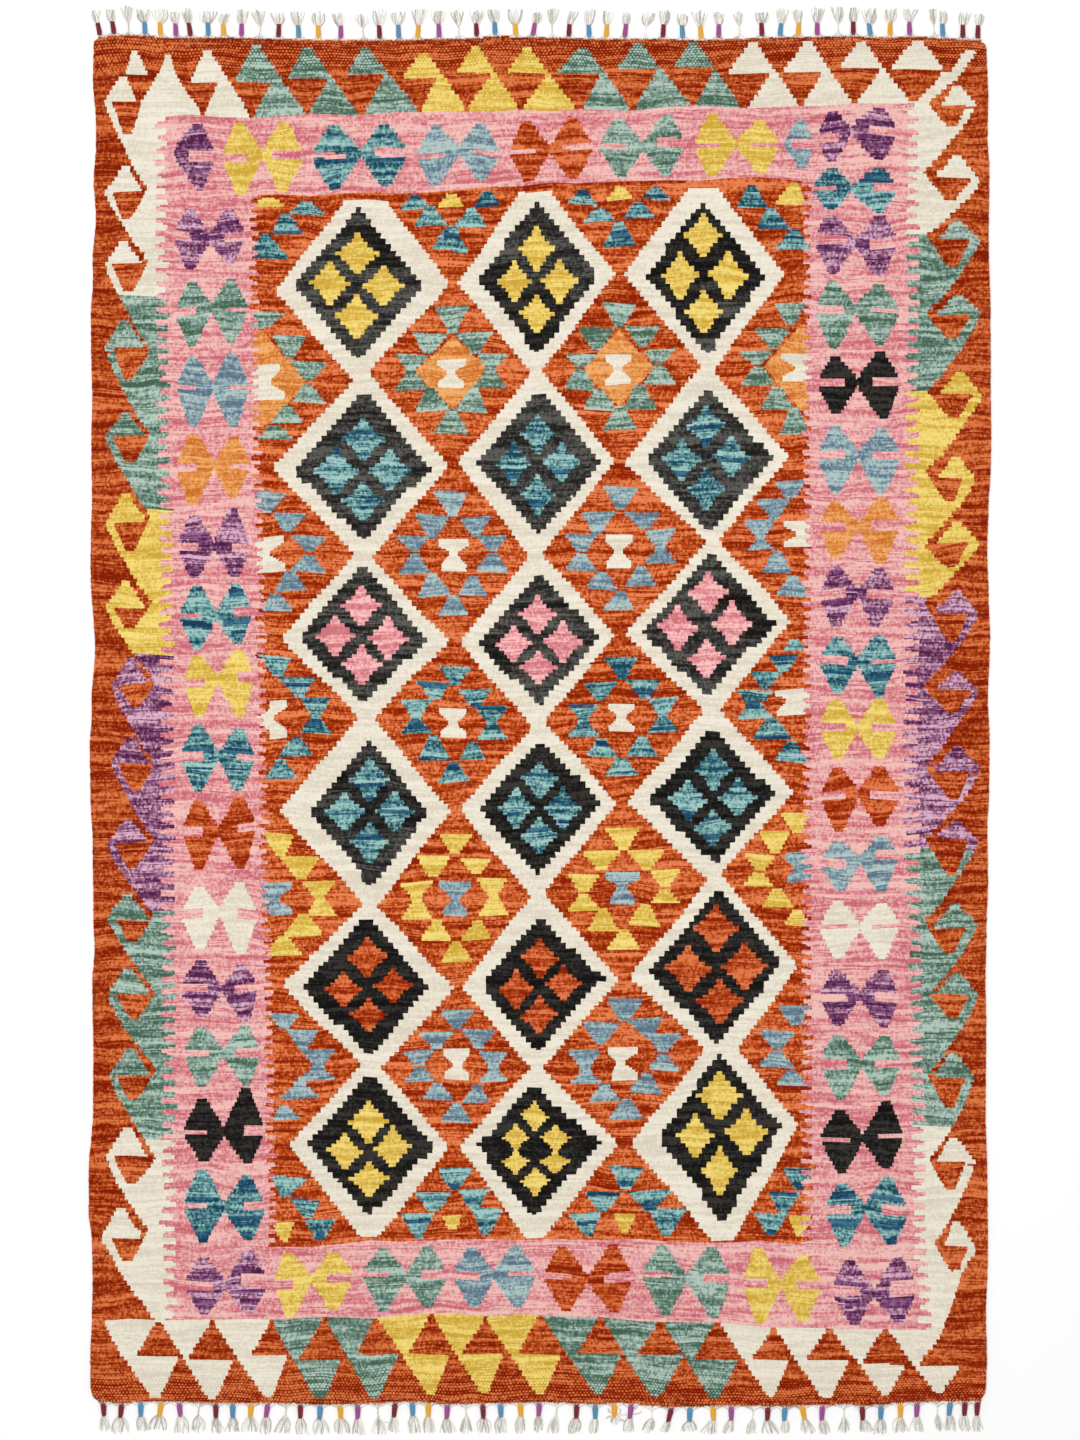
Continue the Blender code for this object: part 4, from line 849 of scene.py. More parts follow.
def meet(upper, lower):
    """Where the turns of two rows stand on the line between them. Two turns between the same two runs
    meet halfway, if they are near enough and pass no other turn on the way."""
    (a_x, a_runs), (b_x, b_runs) = upper, lower
    a_on, b_on = list(a_x), list(b_x)
    j, a_last = 0, LEFT_OF_ALL
    for i, x in enumerate(a_x):
        pair = a_runs[i], a_runs[i + 1]
        while j < len(b_x) and b_x[j] < x - SLANT:
            j += 1
        k = j
        while k < len(b_x) and b_x[k] <= x + SLANT and (b_runs[k], b_runs[k + 1]) != pair:
            k += 1
        if k < len(b_x) and b_x[k] <= x + SLANT:
            both = round((x + b_x[k]) / 2, 2)
            before_b = b_on[k - 1] if k else LEFT_OF_ALL
            after_a = a_x[i + 1] if i + 1 < len(a_x) else RIGHT_OF_ALL
            after_b = b_x[k + 1] if k + 1 < len(b_x) else RIGHT_OF_ALL
            if a_last < both < after_a and before_b < both < after_b:
                a_on[i] = b_on[k] = both
                j = k + 1
        a_last = a_on[i]
    return a_on, b_on


# The corners, line by line: those of the turns above and below the line, and the further ones.
corners, corner_at = [], []
on_lines = [([], rows_of_runs[0][0])]
on_lines += [meet(rows_of_runs[n], rows_of_runs[n + 1]) for n in range(row_count - 1)]
on_lines += [(rows_of_runs[-1][0], [])]
for line, (above, below) in enumerate(on_lines):
    low, high = line_ends[line]
    taken = (*above, *below, low, high)
    further = [x for x in FURTHER_CORNERS if all(abs(x - other) > NEAR for other in taken)]
    if line in (0, row_count):
        further = [p[0] for p in (upper_end if line == 0 else lower_end)[1:-1]]
    stations = sorted({round(x, 2) for x in (*above, *below, *further)
                       if low + CLEAR_OF_END < x < high - CLEAR_OF_END})
    stations = [low] + stations + [high]
    corner_at.append({x: len(corners) + i for i, x in enumerate(stations)})
    corners += [(x, bowed(line, x), line) for x in stations]

# The faces, row by row, each with the number of its yarn and of its skein.
faces, face_yarn, face_skein = [], [], []
for row, (_, runs) in enumerate(rows_of_runs):
    upper_stations, lower_stations = list(corner_at[row]), list(corner_at[row + 1])
    upper_x = [upper_stations[0]] + [round(x, 2) for x in on_lines[row][1]] + [upper_stations[-1]]
    lower_x = [lower_stations[0]] + [round(x, 2) for x in on_lines[row + 1][0]] + [lower_stations[-1]]
    for i, (yarn, skein) in enumerate(runs):
        above = [corner_at[row][x] for x in upper_stations if upper_x[i] <= x <= upper_x[i + 1]]
        below = [corner_at[row + 1][x] for x in lower_stations if lower_x[i] <= x <= lower_x[i + 1]]
        if len(above) + len(below) < 3 or not above or not below:
            continue
        faces.append(below + above[::-1])
        face_yarn.append(yarn)
        face_skein.append(skein)

# The rim, where the wefts turn back round the outermost warps, bulges out a little between the two faces.
BULGE_UNEVENNESS = 0.25 * MM
top_count = len(corners)
places = [((x - CHART_MIDDLE[0]) * SQUARE, (CHART_MIDDLE[1] - y) * SQUARE) for x, y, _ in corners]
rim = list(corner_at[-1].values())
rim += [list(corner_at[n].values())[-1] for n in range(row_count - 1, 0, -1)]
rim += list(corner_at[0].values())[::-1]
rim += [list(corner_at[n].values())[0] for n in range(1, row_count)]
rounded = []
for i, corner in enumerate(rim):
    (x0, y0), (x1, y1) = places[rim[i - 1]], places[rim[(i + 1) % len(rim)]]
    length = math.hypot(x1 - x0, y1 - y0)
    out = EDGE_ROUNDING + BULGE_UNEVENNESS * float(hand.normal())
    x, y = places[corner]
    rounded.append((x + (y1 - y0) / length * out, y - (x1 - x0) / length * out))
vertices = [(x, y, CLOTH_TOP) for x, y in places] + [(x, y, 0.0) for x, y in places]
first_upper, first_lower = len(vertices), len(vertices) + len(rim)
vertices += [(x, y, CLOTH_TOP - EDGE_ROUNDING) for x, y in rounded]
vertices += [(x, y, EDGE_ROUNDING) for x, y in rounded]
cloth_faces = faces + [[top_count + corner for corner in face[::-1]] for face in faces]
face_yarn, face_skein = face_yarn * 2, face_skein * 2
rim_faces = []
for i in range(len(rim)):
    j = (i + 1) % len(rim)
    levels = ((rim[i], rim[j]), (first_upper + i, first_upper + j), (first_lower + i, first_lower + j),
              (top_count + rim[i], top_count + rim[j]))
    for band, (high, low) in enumerate(zip(levels, levels[1:])):
        rim_faces.append((i, j, band))
        cloth_faces.append([low[0], low[1], high[1], high[0]])
        face_yarn.append(YARN_NAMES.index("madder"))
        face_skein.append(1)

cloth_mesh = bpy.data.meshes.new("kilim_cloth")
cloth_mesh.from_pydata(vertices, [], cloth_faces)
for name, values in (("yarn", face_yarn), ("skein", face_skein)):
    layer = cloth_mesh.attributes.new(name, "FLOAT", "FACE")
    layer.data.foreach_set("value", np.array(values, dtype=np.float32))

# Two maps: one in metres along and across the wefts, for the weave, and one for baked colour, where
# the underside lies under the top and the rim runs round them in a narrow margin.
MARGIN = 0.006
rows_down = [line for _, _, line in corners]
along_weft = [v[0] for v in vertices]
across_weft = [-row * ROW * SQUARE for row in rows_down] * 2
across_weft += [-rows_down[corner] * ROW * SQUARE for corner in rim] * 2
half_x = max(abs(x) for x, _ in places)
half_y = max(abs(y) for _, y in places)
loop_corners = np.array([corner for face in cloth_faces for corner in face])
weave_map = cloth_mesh.uv_layers.new(name="weave")
weave_map.data.foreach_set(
    "uv", np.stack([np.array(along_weft)[loop_corners], np.array(across_weft)[loop_corners]], 1).ravel())


def inside_margin(place, half):
    """A place along the rug, from -half to half, on the map of baked colour."""
    return MARGIN + (place / half + 1) / 2 * (1 - 2 * MARGIN)


flat_x = np.array([v[0] for v in vertices])
flat_y = np.array([v[1] for v in vertices])
baked = np.stack([inside_margin(flat_x, half_x), inside_margin(flat_y, half_y)], 1)[loop_corners]
baked = baked.clip(0, 1)
first_of_rim = len(loop_corners) - 4 * len(rim_faces)
# The rim goes round from the lower end's left corner. Here its lower, right and upper sides end.
lower_side = len(corner_at[-1]) - 1
right_side = lower_side + row_count
upper_side = right_side + len(corner_at[0]) - 1
for number, (i, j, band) in enumerate(rim_faces):
    inner, outer = MARGIN * (1 - band / 3), MARGIN * (1 - (band + 1) / 3)
    side = sum(i >= end for end in (lower_side, right_side, upper_side))
    for corner, (which, depth) in enumerate(((i, outer), (j, outer), (j, inner), (i, inner))):
        x, y = places[rim[which]]
        u, v = inside_margin(x, half_x), inside_margin(y, half_y)
        on_sides = ((u, depth), (1 - depth, v), (u, 1 - depth), (depth, v))
        baked[first_of_rim + 4 * number + corner] = on_sides[side]
cloth_mesh.uv_layers.new(name="OFBake").data.foreach_set("uv", baked.ravel())
cloth_mesh.update()
cloth = bpy.data.objects.new("kilim_cloth", cloth_mesh)
bpy.context.scene.collection.objects.link(cloth)


def linear(colour):
    """An sRGB hex colour as linear values."""
    parts = [int(colour[i:i + 2], 16) / 255 for i in (1, 3, 5)]
    return (*(p / 12.92 if p <= 0.04045 else ((p + 0.055) / 1.055) ** 2.4 for p in parts), 1.0)


def node(tree, kind, inputs=None, **settings):
    """Add a node with its settings. inputs gives each socket, by name or number, a value or a link."""
    new = tree.nodes.new(kind)
    for name, value in settings.items():
        setattr(new, name, value)
    for socket, value in (inputs or {}).items():
        if isinstance(value, bpy.types.NodeSocket):
            tree.links.new(value, new.inputs[socket])
        else:
            new.inputs[socket].default_value = value
    return new


def new_material(name):
    """A material, its node tree and its shader."""
    material = bpy.data.materials.new(name)
    material.use_nodes = True
    tree = material.node_tree
    return material, tree, tree.nodes["Principled BSDF"]


def sums(tree, operation, *values):
    """A sum on numbers, each a value or a link."""
    return node(tree, "ShaderNodeMath", dict(enumerate(values)), operation=operation).outputs[0]


def mixed(share, first, second):
    """Two colours mixed, all of the second at 1."""
    return node(tree, "ShaderNodeMix", {0: share, 6: first, 7: second}, data_type="RGBA").outputs[2]


def yarn_ramp(tree, number, yarns, which):
    """One of the colours of every yarn, looked up by the yarn's number."""
    ramp = node(tree, "ShaderNodeValToRGB",
                {0: sums(tree, "DIVIDE", sums(tree, "ADD", number, 0.5), len(yarns))})
    ramp.color_ramp.interpolation = "CONSTANT"
    stops = ramp.color_ramp.elements
    while len(stops) < len(yarns):
        stops.new(1.0)
    for order, colours in enumerate(yarns.values()):
        stops[order].position = order / len(yarns)
        stops[order].color = linear(colours[which])
    return ramp.outputs["Color"]


# Hand-spun wool: matt, a little hairy, and dyed unevenly, so each pass of the weft runs through darker
# and paler lengths. That gives streaks across the rug, and bands where the weaver began a new skein.
STITCH = 2.7 * MM     # one stitch, over one warp
BAND = 5.1 * MM       # three picks
WAVE_ALONG, WAVE_DOWN, WAVE_HEIGHT = 55 * MM, 70 * MM, 12 * MM
# The streaks' lengths along the weft, how far each kind moves the tone, and how far apart in the noise
# two skeins, two picks and two bands are taken, so that they have nothing in common.
THIN_STREAK, BROAD_STREAK, BANDED_STREAK = 50 * MM, 120 * MM, 160 * MM
THIN_TONE, BROAD_TONE, BANDED_TONE = 2.3, 1.9, 1.7
SKEIN_STEP, PICK_STEP, BAND_STEP = 3.7, 5.3, 7.7
BROAD_WIDTH = 9 * MM
HEATHER = 0.74        # how far one stitch's tone may be from the next one's
DARKEST_SKEIN, SKEIN_TONE = 0.42, 0.16
wool, tree, shader = new_material("handspun_wool_weft")
weave_uv = node(tree, "ShaderNodeUVMap", uv_map="weave").outputs["UV"]
place = node(tree, "ShaderNodeSeparateXYZ", {0: weave_uv}).outputs
yarn_number = node(tree, "ShaderNodeAttribute", attribute_name="yarn").outputs["Fac"]
skein_number = node(tree, "ShaderNodeAttribute", attribute_name="skein").outputs["Fac"]


def noise_at(x, y, z, detail, spread):
    """Noise at a place, spread out either side of 0."""
    at = node(tree, "ShaderNodeCombineXYZ", {0: x, 1: y, 2: z}).outputs[0]
    found = node(tree, "ShaderNodeTexNoise",
                 {"Vector": at, "Scale": 1.0, "Detail": detail, "Roughness": 0.55}).outputs["Fac"]
    return sums(tree, "MULTIPLY", sums(tree, "SUBTRACT", found, 0.5), spread)


def along_rug(length):
    """The place along the weft, counted in streaks of a length."""
    return sums(tree, "DIVIDE", place[0], length)


# The wefts were beaten down in slight waves, which the streaks follow.
wave = noise_at(along_rug(WAVE_ALONG), sums(tree, "DIVIDE", place[1], WAVE_DOWN), 0.0, 1.0, WAVE_HEIGHT)
wavy = sums(tree, "ADD", place[1], wave)
picks_down = sums(tree, "DIVIDE", wavy, PICK)
pick_number = sums(tree, "FLOOR", picks_down)
skein_offset = sums(tree, "MULTIPLY", skein_number, SKEIN_STEP)
by_pick = sums(tree, "MULTIPLY", pick_number, PICK_STEP)
thin = noise_at(along_rug(THIN_STREAK), by_pick, skein_offset, 2.0, THIN_TONE)
broad = noise_at(along_rug(BROAD_STREAK), sums(tree, "DIVIDE", wavy, BROAD_WIDTH), skein_offset, 2.0,
                 BROAD_TONE)
# A length of dark or pale yarn goes out and back a few times, in a band with sharp edges.
band_number = sums(tree, "FLOOR", sums(tree, "DIVIDE", wavy, BAND))
banded = noise_at(along_rug(BANDED_STREAK), sums(tree, "MULTIPLY", band_number, BAND_STEP), skein_offset,
                  1.0, BANDED_TONE)
# Each stitch over a warp has a tone of its own. The stitches go half a stitch on every second pick.
out_and_back = sums(tree, "FLOOR", sums(tree, "DIVIDE", wavy, 2 * PICK))
half_on = sums(tree, "MULTIPLY", out_and_back, 0.5)
stitch_number = sums(tree, "FLOOR", sums(tree, "ADD", along_rug(STITCH), half_on))
stitch_at = node(tree, "ShaderNodeCombineXYZ", {0: stitch_number, 1: out_and_back}).outputs[0]
stitch = node(tree, "ShaderNodeTexWhiteNoise", {0: stitch_at}, noise_dimensions="2D").outputs
heather = sums(tree, "MULTIPLY_ADD", stitch["Value"], HEATHER, -HEATHER / 2)
per_skein = node(tree, "ShaderNodeTexWhiteNoise", {"W": skein_number}, noise_dimensions="1D").outputs[0]
tone = sums(tree, "MULTIPLY_ADD", per_skein, SKEIN_TONE, DARKEST_SKEIN)
for part in (thin, broad, banded, heather):
    tone = sums(tree, "ADD", tone, part)

# The two ends are woven last and first, in shaded yarn, and their picks lie looser.
LOOSE_END, LOOSE_SHADE = 40 * MM, -0.22
length_down = row_count * ROW * SQUARE
from_middle = sums(tree, "ABSOLUTE", sums(tree, "ADD", place[1], length_down / 2))
loose = node(tree, "ShaderNodeMapRange", {
    "Value": from_middle, "From Min": length_down / 2 - LOOSE_END, "From Max": length_down / 2}).outputs[0]
tone = sums(tree, "MULTIPLY_ADD", loose, LOOSE_SHADE, tone)
# There the ovals are drawn larger than one stitch, with painted light and shade: a painted highlight on each
# oval's middle and painted shade in the grooves between them.
LOOSE_STITCH, LOOSE_PICK = 4.6 * MM, 3.8 * MM
OVALS_BEGIN, OVALS_FULL = 55 * MM, 20 * MM      # from the rug's end
OVAL_MIDDLE, OVAL_PAINTED_LIGHT = 0.4, 1.3
looser = node(tree, "ShaderNodeMapRange", {
    "Value": from_middle, "From Min": length_down / 2 - OVALS_BEGIN,
    "From Max": length_down / 2 - OVALS_FULL}).outputs[0]
loose_row = sums(tree, "DIVIDE", wavy, LOOSE_PICK)
loose_across = sums(tree, "MULTIPLY_ADD", sums(tree, "ADD", place[0], wave), math.pi / LOOSE_STITCH,
                    sums(tree, "MULTIPLY", sums(tree, "FLOOR", loose_row), math.pi / 2))
oval_relief = sums(tree, "MULTIPLY", sums(tree, "ABSOLUTE", sums(tree, "COSINE", loose_across)),
            sums(tree, "ABSOLUTE", sums(tree, "SINE", sums(tree, "MULTIPLY", loose_row, math.pi))))
# Painted light and shade: paler where an oval's relief stands high, darker in the grooves between ovals.
painted_oval_light_and_shade = sums(tree, "MULTIPLY", looser, sums(tree, "SUBTRACT", oval_relief, OVAL_MIDDLE))
tone = sums(tree, "MULTIPLY_ADD", painted_oval_light_and_shade, OVAL_PAINTED_LIGHT, tone)
# A tone of 0 is the yarn's shaded colour, 0.5 its usual one and 1 its pale one.
to_usual = node(tree, "ShaderNodeMath", {0: tone, 1: 2.0}, operation="MULTIPLY", use_clamp=True).outputs[0]
to_pale = node(tree, "ShaderNodeMath", {0: tone, 1: 2.0, 2: -1.0}, operation="MULTIPLY_ADD",
               use_clamp=True).outputs[0]
shaded, usual, pale = (yarn_ramp(tree, yarn_number, YARNS, which) for which in (0, 1, 2))
colour = mixed(to_pale, mixed(to_usual, shaded, usual), pale)
# Each pass shows as a row of ovals, 2.7 mm long over a warp and half a warp off from row to row.
over_warp = sums(tree, "MULTIPLY_ADD", place[0], math.pi / STITCH,
                 sums(tree, "MULTIPLY", pick_number, math.pi / 2))
across_oval = sums(tree, "ABSOLUTE", sums(tree, "COSINE", over_warp))
# Where the picks lie looser, specks of the cotton warp show between the ovals.
SPECKS_FROM, SPECK_SHARE = 0.66, 0.5
between_warps = sums(tree, "LESS_THAN", across_oval, 0.5)
loosest = sums(tree, "GREATER_THAN", sums(tree, "MULTIPLY", stitch["Color"], loose), SPECKS_FROM)
bare = sums(tree, "MULTIPLY", sums(tree, "MULTIPLY", between_warps, loosest), SPECK_SHARE)
tree.links.new(mixed(bare, colour, linear("#F6B47C")), shader.inputs["Base Color"])
shader.inputs["Roughness"].default_value = 0.92
shader.inputs["Sheen Weight"].default_value = 0.015
shader.inputs["Sheen Roughness"].default_value = 0.6
shader.inputs["Specular IOR Level"].default_value = 0.06
down_pick = sums(tree, "FRACT", sums(tree, "DIVIDE", place[1], PICK))
oval = sums(tree, "MULTIPLY", across_oval, sums(tree, "SINE", sums(tree, "MULTIPLY", down_pick, math.pi)))
bump = node(tree, "ShaderNodeBump", {"Strength": 0.5, "Distance": 0.35 * MM, "Height": oval})
tree.links.new(bump.outputs["Normal"], shader.inputs["Normal"])
cloth_mesh.materials.append(wool)

# ---------------------------------------------------------------------------------------------------
# The fringe. At each end the last wefts are madder, and past them the cotton warps are gathered into
# 49 tassels. Most have their neck bound with a coil of dyed wool, and the ends of the warps are left
# loose beyond it as a brush.
STRIP_WIDTH = 2.5 * MM
STRIP_GAP = 0.3 * MM
STRIP_ENDS = {1: (-0.6006, 0.6003), -1: (-0.6003, 0.6002)}    # metres, at the upper and the lower end
STRIP_STEPS = 300
# The last wefts' section, in millimetres: out from the strip's outer edge, and up.
STRIP_SECTION = ((-3.3, 0.0), (-3.3, 2.3), (-2.6, 3.0), (-1.4, 3.0), (-0.5, 2.4), (0.0, 1.2), (0.0, 0.0))
LUMP_TO_HOLLOW = 5.4 * MM     # along the strip
ASIDE = 10 * MM               # how far from the cloth's own picks the strip's are read
DOT_SPACING = 3.1 * MM        # from one pale warp end to the next
# From here on a tassel's measures are in millimetres.
GATHERED = (-1.0, -0.78, -0.55, -0.33, -0.11, 0.11, 0.33, 0.55, 0.78, 1.0)    # its warps, across its reach
GATHER_REACH = {1: 9.0, -1: 12.0}
NECK_LENGTH = 19.5
WRAP_WIDTH, WRAP_HEIGHT = 7.0, 4.8
WRAP_TURNS, STEPS_A_TURN = 13, 9
WRAP_YARN = 1.5               # the dyed wool's thickness
WARP_YARN = 1.6               # a loose cotton end's thickness
BARE_YARN = 1.3               # the thickness of each of a bare neck's two twisted strands
BARE_TURNS, BARE_STEPS = 3, 24
BARE_RADIUS, BARE_MIDDLE = 0.6, 1.3       # of the twist, and how high it lies
COIL_INSET = 0.65             # how far inside the coil's width the wool's own middle runs
NECK_SPREAD = {True: 0.5, False: 2.0}     # half the width of a neck's warps, in a bare neck and a bound one
MOUTH_SPREAD = {True: 0.8, False: 2.3}    # the same where they enter it
# Where the coil begins, how many times its usual width it has there and at its far end, and how far the
# brush spreads either side, as a share of its width: at the upper end of the rug and at the lower.
COIL_BEGINS = {1: 1.5, -1: 0.9}
ROOT_FLARE, TIP_FLARE = {1: 1.14, -1: 1.36}, 0.88
SPREAD = {1: 0.56, -1: 0.64}
BRUSH_ENDS = 8
INSIDE_NECK = 3.0             # how far back inside the neck a loose end begins
# How far a loose end strays: from its place in the brush, at its bend, at its tip and in its curl. Then
# how much shorter the outer ones are, and how much shorter any may be.
END_STRAYS, BEND_STRAYS, TIP_STRAYS, CURL = 0.07, 1.0, 1.4, 2.2
OUTER_SHORTER, ANY_SHORTER = 2.0, 3.4
CURVE_STEPS = 6
# Red, blue, yellow or purple wool round the neck, or W for a bare white one, from left to right.
UPPER_WRAPS = "RRWBYP" + "RBYPW" * 8 + "BRR"
LOWER_WRAPS = "RRBYPW" + "RBYPW" * 8 + "BRR"
# Each tassel: its place across the rug, how far the neck's tip leans to the right, how far the brush's
# middle leans, the brush's width, and the tassel's reach from the rug's end.
UPPER_TASSELS = (
    (-598, -4, -7, 10, 35), (-579, -3, -6, 12, 35), (-559, -1, -4, 14, 38), (-537, -1, -3, 18, 34),
    (-516, -1, -1, 22, 37), (-495, -1, -3, 14, 34), (-475, -3, -5, 12, 37), (-451, -1, -1, 22, 34),
    (-430, -1, 1, 14, 31), (-406, 0, 1, 15, 37), (-381, 1, -3, 15, 37), (-356, 1, 0, 18, 34),
    (-328, -1, -2, 15, 37), (-301, -1, -1, 18, 37), (-271, 0, -3, 16, 35), (-240, -1, -4, 22, 33),
    (-218, -1, 0, 18, 39), (-192, -1, -2, 20, 37), (-167, 2, 3, 16, 40), (-137, -1, -2, 18, 38),
    (-110, -1, -3, 14, 37), (-86, -1, 1, 19, 35), (-61, -1, -2, 16, 35), (-33, -1, -1, 21, 38),
    (-10, 3, 7, 11, 31), (17, -1, 0, 14, 38), (39, 1, 6, 11, 35), (67, -1, 1, 16, 38),
    (90, 1, 3, 15, 37), (115, 2, 2, 12, 35), (143, 1, 5, 18, 34), (167, 1, 3, 14, 38),
    (194, -1, -1, 16, 34), (219, -1, -3, 18, 38), (243, 0, -1, 15, 35), (272, -1, -2, 12, 35),
    (302, -1, 0, 19, 33), (326, 2, 3, 15, 37), (351, 1, -1, 12, 35), (377, 0, 1, 15, 38),
    (405, 1, -1, 16, 39), (426, 0, 1, 11, 37), (450, -3, -1, 19, 37), (476, 0, 0, 19, 37),
    (503, -1, 0, 19, 37), (536, -1, -2, 8, 37), (548, -1, 1, 11, 35), (575, 0, 3, 15, 35),
    (595, 1, 2, 13, 34),
)
LOWER_TASSELS = (
    (-594, 1, 2, 12, 37), (-569, -2, -2, 22, 39), (-543, 0, 3, 14, 38), (-515, -3, -4, 22, 36),
    (-491, 2, 4, 16, 40), (-464, -1, -1, 18, 37), (-441, 0, 2, 12, 38), (-418, 0, 0, 14, 37),
    (-393, -1, -1, 19, 37), (-370, -3, -3, 14, 39), (-345, -1, -5, 19, 39), (-326, 0, 3, 13, 39),
    (-299, -1, 2, 19, 38), (-272, 1, 3, 18, 38), (-248, 0, 1, 14, 39), (-221, 1, 2, 16, 40),
    (-197, -2, -2, 12, 39), (-174, 1, 2, 15, 40), (-152, 0, 1, 15, 39), (-126, -1, 1, 18, 37),
    (-101, 1, -1, 14, 37), (-78, 1, 2, 16, 38), (-54, 1, 0, 14, 39), (-27, 1, -1, 11, 39),
    (-1, -1, -3, 11, 38), (23, -1, -6, 14, 39), (50, -1, -4, 15, 38), (75, 0, -3, 11, 37),
    (101, 0, 2, 12, 26), (124, -2, -4, 12, 37), (152, 0, -6, 12, 34), (179, -5, -10, 9, 32),
    (204, -1, -2, 18, 32), (235, 1, -5, 14, 35), (260, 0, -6, 11, 35), (290, -1, -3, 12, 36),
    (310, -1, 5, 18, 35), (333, -1, 1, 11, 34), (356, 4, 9, 15, 36), (384, -1, 3, 12, 37),
    (413, 1, 1, 11, 36), (438, 1, 7, 15, 33), (464, -1, -1, 14, 38), (490, 0, -1, 16, 38),
    (513, -1, 0, 14, 38), (541, -1, 3, 9, 37), (558, -2, 1, 11, 38), (578, -1, -1, 12, 38),
    (595, -1, 0, 11, 39),
)
# Ends that have worked loose from the lower tassels: three points each, across the rug and out from its
# end, and how many lie together.
STRAY_ENDS = (
    ((97, 17), (93, 16), (90, 19), 2), ((97, 12), (92, 10), (93, 6), 2),
    ((105, 17), (112, 12), (108, 6), 4), ((101, 19), (107, 20), (115, 24), 4),
    ((107, 18), (114, 12), (119, 16), 3), ((124, 8), (129, 7), (132, 3), 2),
    ((124, 14), (134, 12), (138, 8), 2), ((-204, 27), (-211, 25), (-217, 25), 1),
)

# Undyed cotton: a little glossier than the wool and creamy white. Some strands and lengths are darkened to
# grey-brown: partly the cotton's own uneven tone, partly painted shade for the shadows between strands.
cotton, tree, shader = new_material("undyed_cotton_warp")
strand_number = node(tree, "ShaderNodeAttribute", attribute_name="strand").outputs["Fac"]
per_strand = node(tree, "ShaderNodeTexWhiteNoise", {"W": strand_number}, noise_dimensions="1D").outputs[0]
cotton_place = node(tree, "ShaderNodeTexCoord").outputs["Object"]
slub = node(tree, "ShaderNodeTexNoise", {"Vector": cotton_place, "Scale": 1 / (2.5 * MM), "Detail": 2.0})
# Painted shade mixed with random tone: darker grey-brown strands stand for the shadows between the strands.
strand_tone_and_painted_shadow = sums(tree, "MULTIPLY_ADD", slub.outputs["Fac"], 0.5, sums(tree, "MULTIPLY", per_strand, 1.1))
tree.links.new(mixed(strand_tone_and_painted_shadow, linear("#8F8069"), linear("#FFFCF4")), shader.inputs["Base Color"])
shader.inputs["Roughness"].default_value = 0.85
shader.inputs["Sheen Weight"].default_value = 0.1
# The ply of each strand, as a fine ripple.
ply = node(tree, "ShaderNodeTexWave", {"Vector": cotton_place, "Scale": 1 / (16 * MM), "Distortion": 1.5},
           bands_direction="DIAGONAL")
ply_bump = node(tree, "ShaderNodeBump", {"Strength": 0.4, "Distance": 0.2 * MM, "Height": ply.outputs["Fac"]})
tree.links.new(ply_bump.outputs["Normal"], shader.inputs["Normal"])

# Dyed wool yarn, tightly wound: even, strong colours, each mottled between a deeper and a brighter one.
WRAP_COLOURS = {"R": ("#5E0816", "#9A2338"), "B": ("#3B78A0", "#78B2D6"), "Y": ("#DE9812", "#FFCC48"),
                "P": ("#8E3680", "#BF68AE")}
binding, tree, shader = new_material("dyed_wool_binding")
wrap_number = node(tree, "ShaderNodeAttribute", attribute_name="wrap").outputs["Fac"]
wool_place = node(tree, "ShaderNodeTexCoord").outputs["Object"]
fuzz = node(tree, "ShaderNodeTexNoise", {"Vector": wool_place, "Scale": 1 / (1.2 * MM), "Detail": 2.0})
deeper, brighter = (yarn_ramp(tree, wrap_number, WRAP_COLOURS, which) for which in (0, 1))
tree.links.new(mixed(fuzz.outputs["Fac"], deeper, brighter), shader.inputs["Base Color"])
shader.inputs["Roughness"].default_value = 0.8
shader.inputs["Sheen Weight"].default_value = 0.1
fuzz_bump = node(tree, "ShaderNodeBump",
                 {"Strength": 0.3, "Distance": 0.2 * MM, "Height": fuzz.outputs["Fac"]})
tree.links.new(fuzz_bump.outputs["Normal"], shader.inputs["Normal"])

# Yarn along paths: the points of each strand become a curve, and a round section is swept along it.
along_paths = bpy.data.node_groups.new("yarn_along_paths", "GeometryNodeTree")
face = along_paths.interface
face.new_socket("Points", in_out="INPUT", socket_type="NodeSocketGeometry")
sides_input = face.new_socket("Sides of the section", in_out="INPUT", socket_type="NodeSocketInt")
material_input = face.new_socket("Yarn", in_out="INPUT", socket_type="NodeSocketMaterial")
face.new_socket("Yarn along paths", in_out="OUTPUT", socket_type="NodeSocketGeometry")
given = node(along_paths, "NodeGroupInput").outputs


def stored(name, kind):
    """A value stored at every point of the paths."""
    return node(along_paths, "GeometryNodeInputNamedAttribute", {"Name": name}, data_type=kind).outputs[0]


points = node(along_paths, "GeometryNodeMeshToPoints", {0: given["Points"]}).outputs[0]
curves = node(along_paths, "GeometryNodePointsToCurves",
              {0: points, 1: stored("strand", "INT"), 2: stored("order", "FLOAT")}).outputs[0]
round_section = node(along_paths, "GeometryNodeCurvePrimitiveCircle",
                     {"Resolution": given["Sides of the section"], "Radius": 1.0}).outputs[0]
swept = node(along_paths, "GeometryNodeCurveToMesh",
             {0: curves, 1: round_section, "Scale": stored("half", "FLOAT"), "Fill Caps": True})
smooth = node(along_paths, "GeometryNodeSetShadeSmooth", {0: swept.outputs[0]}).outputs[0]
real = node(along_paths, "GeometryNodeRealizeInstances", {0: smooth}).outputs[0]
clad = node(along_paths, "GeometryNodeSetMaterial", {0: real, "Material": given["Yarn"]}).outputs[0]
node(along_paths, "NodeGroupOutput", {0: clad})


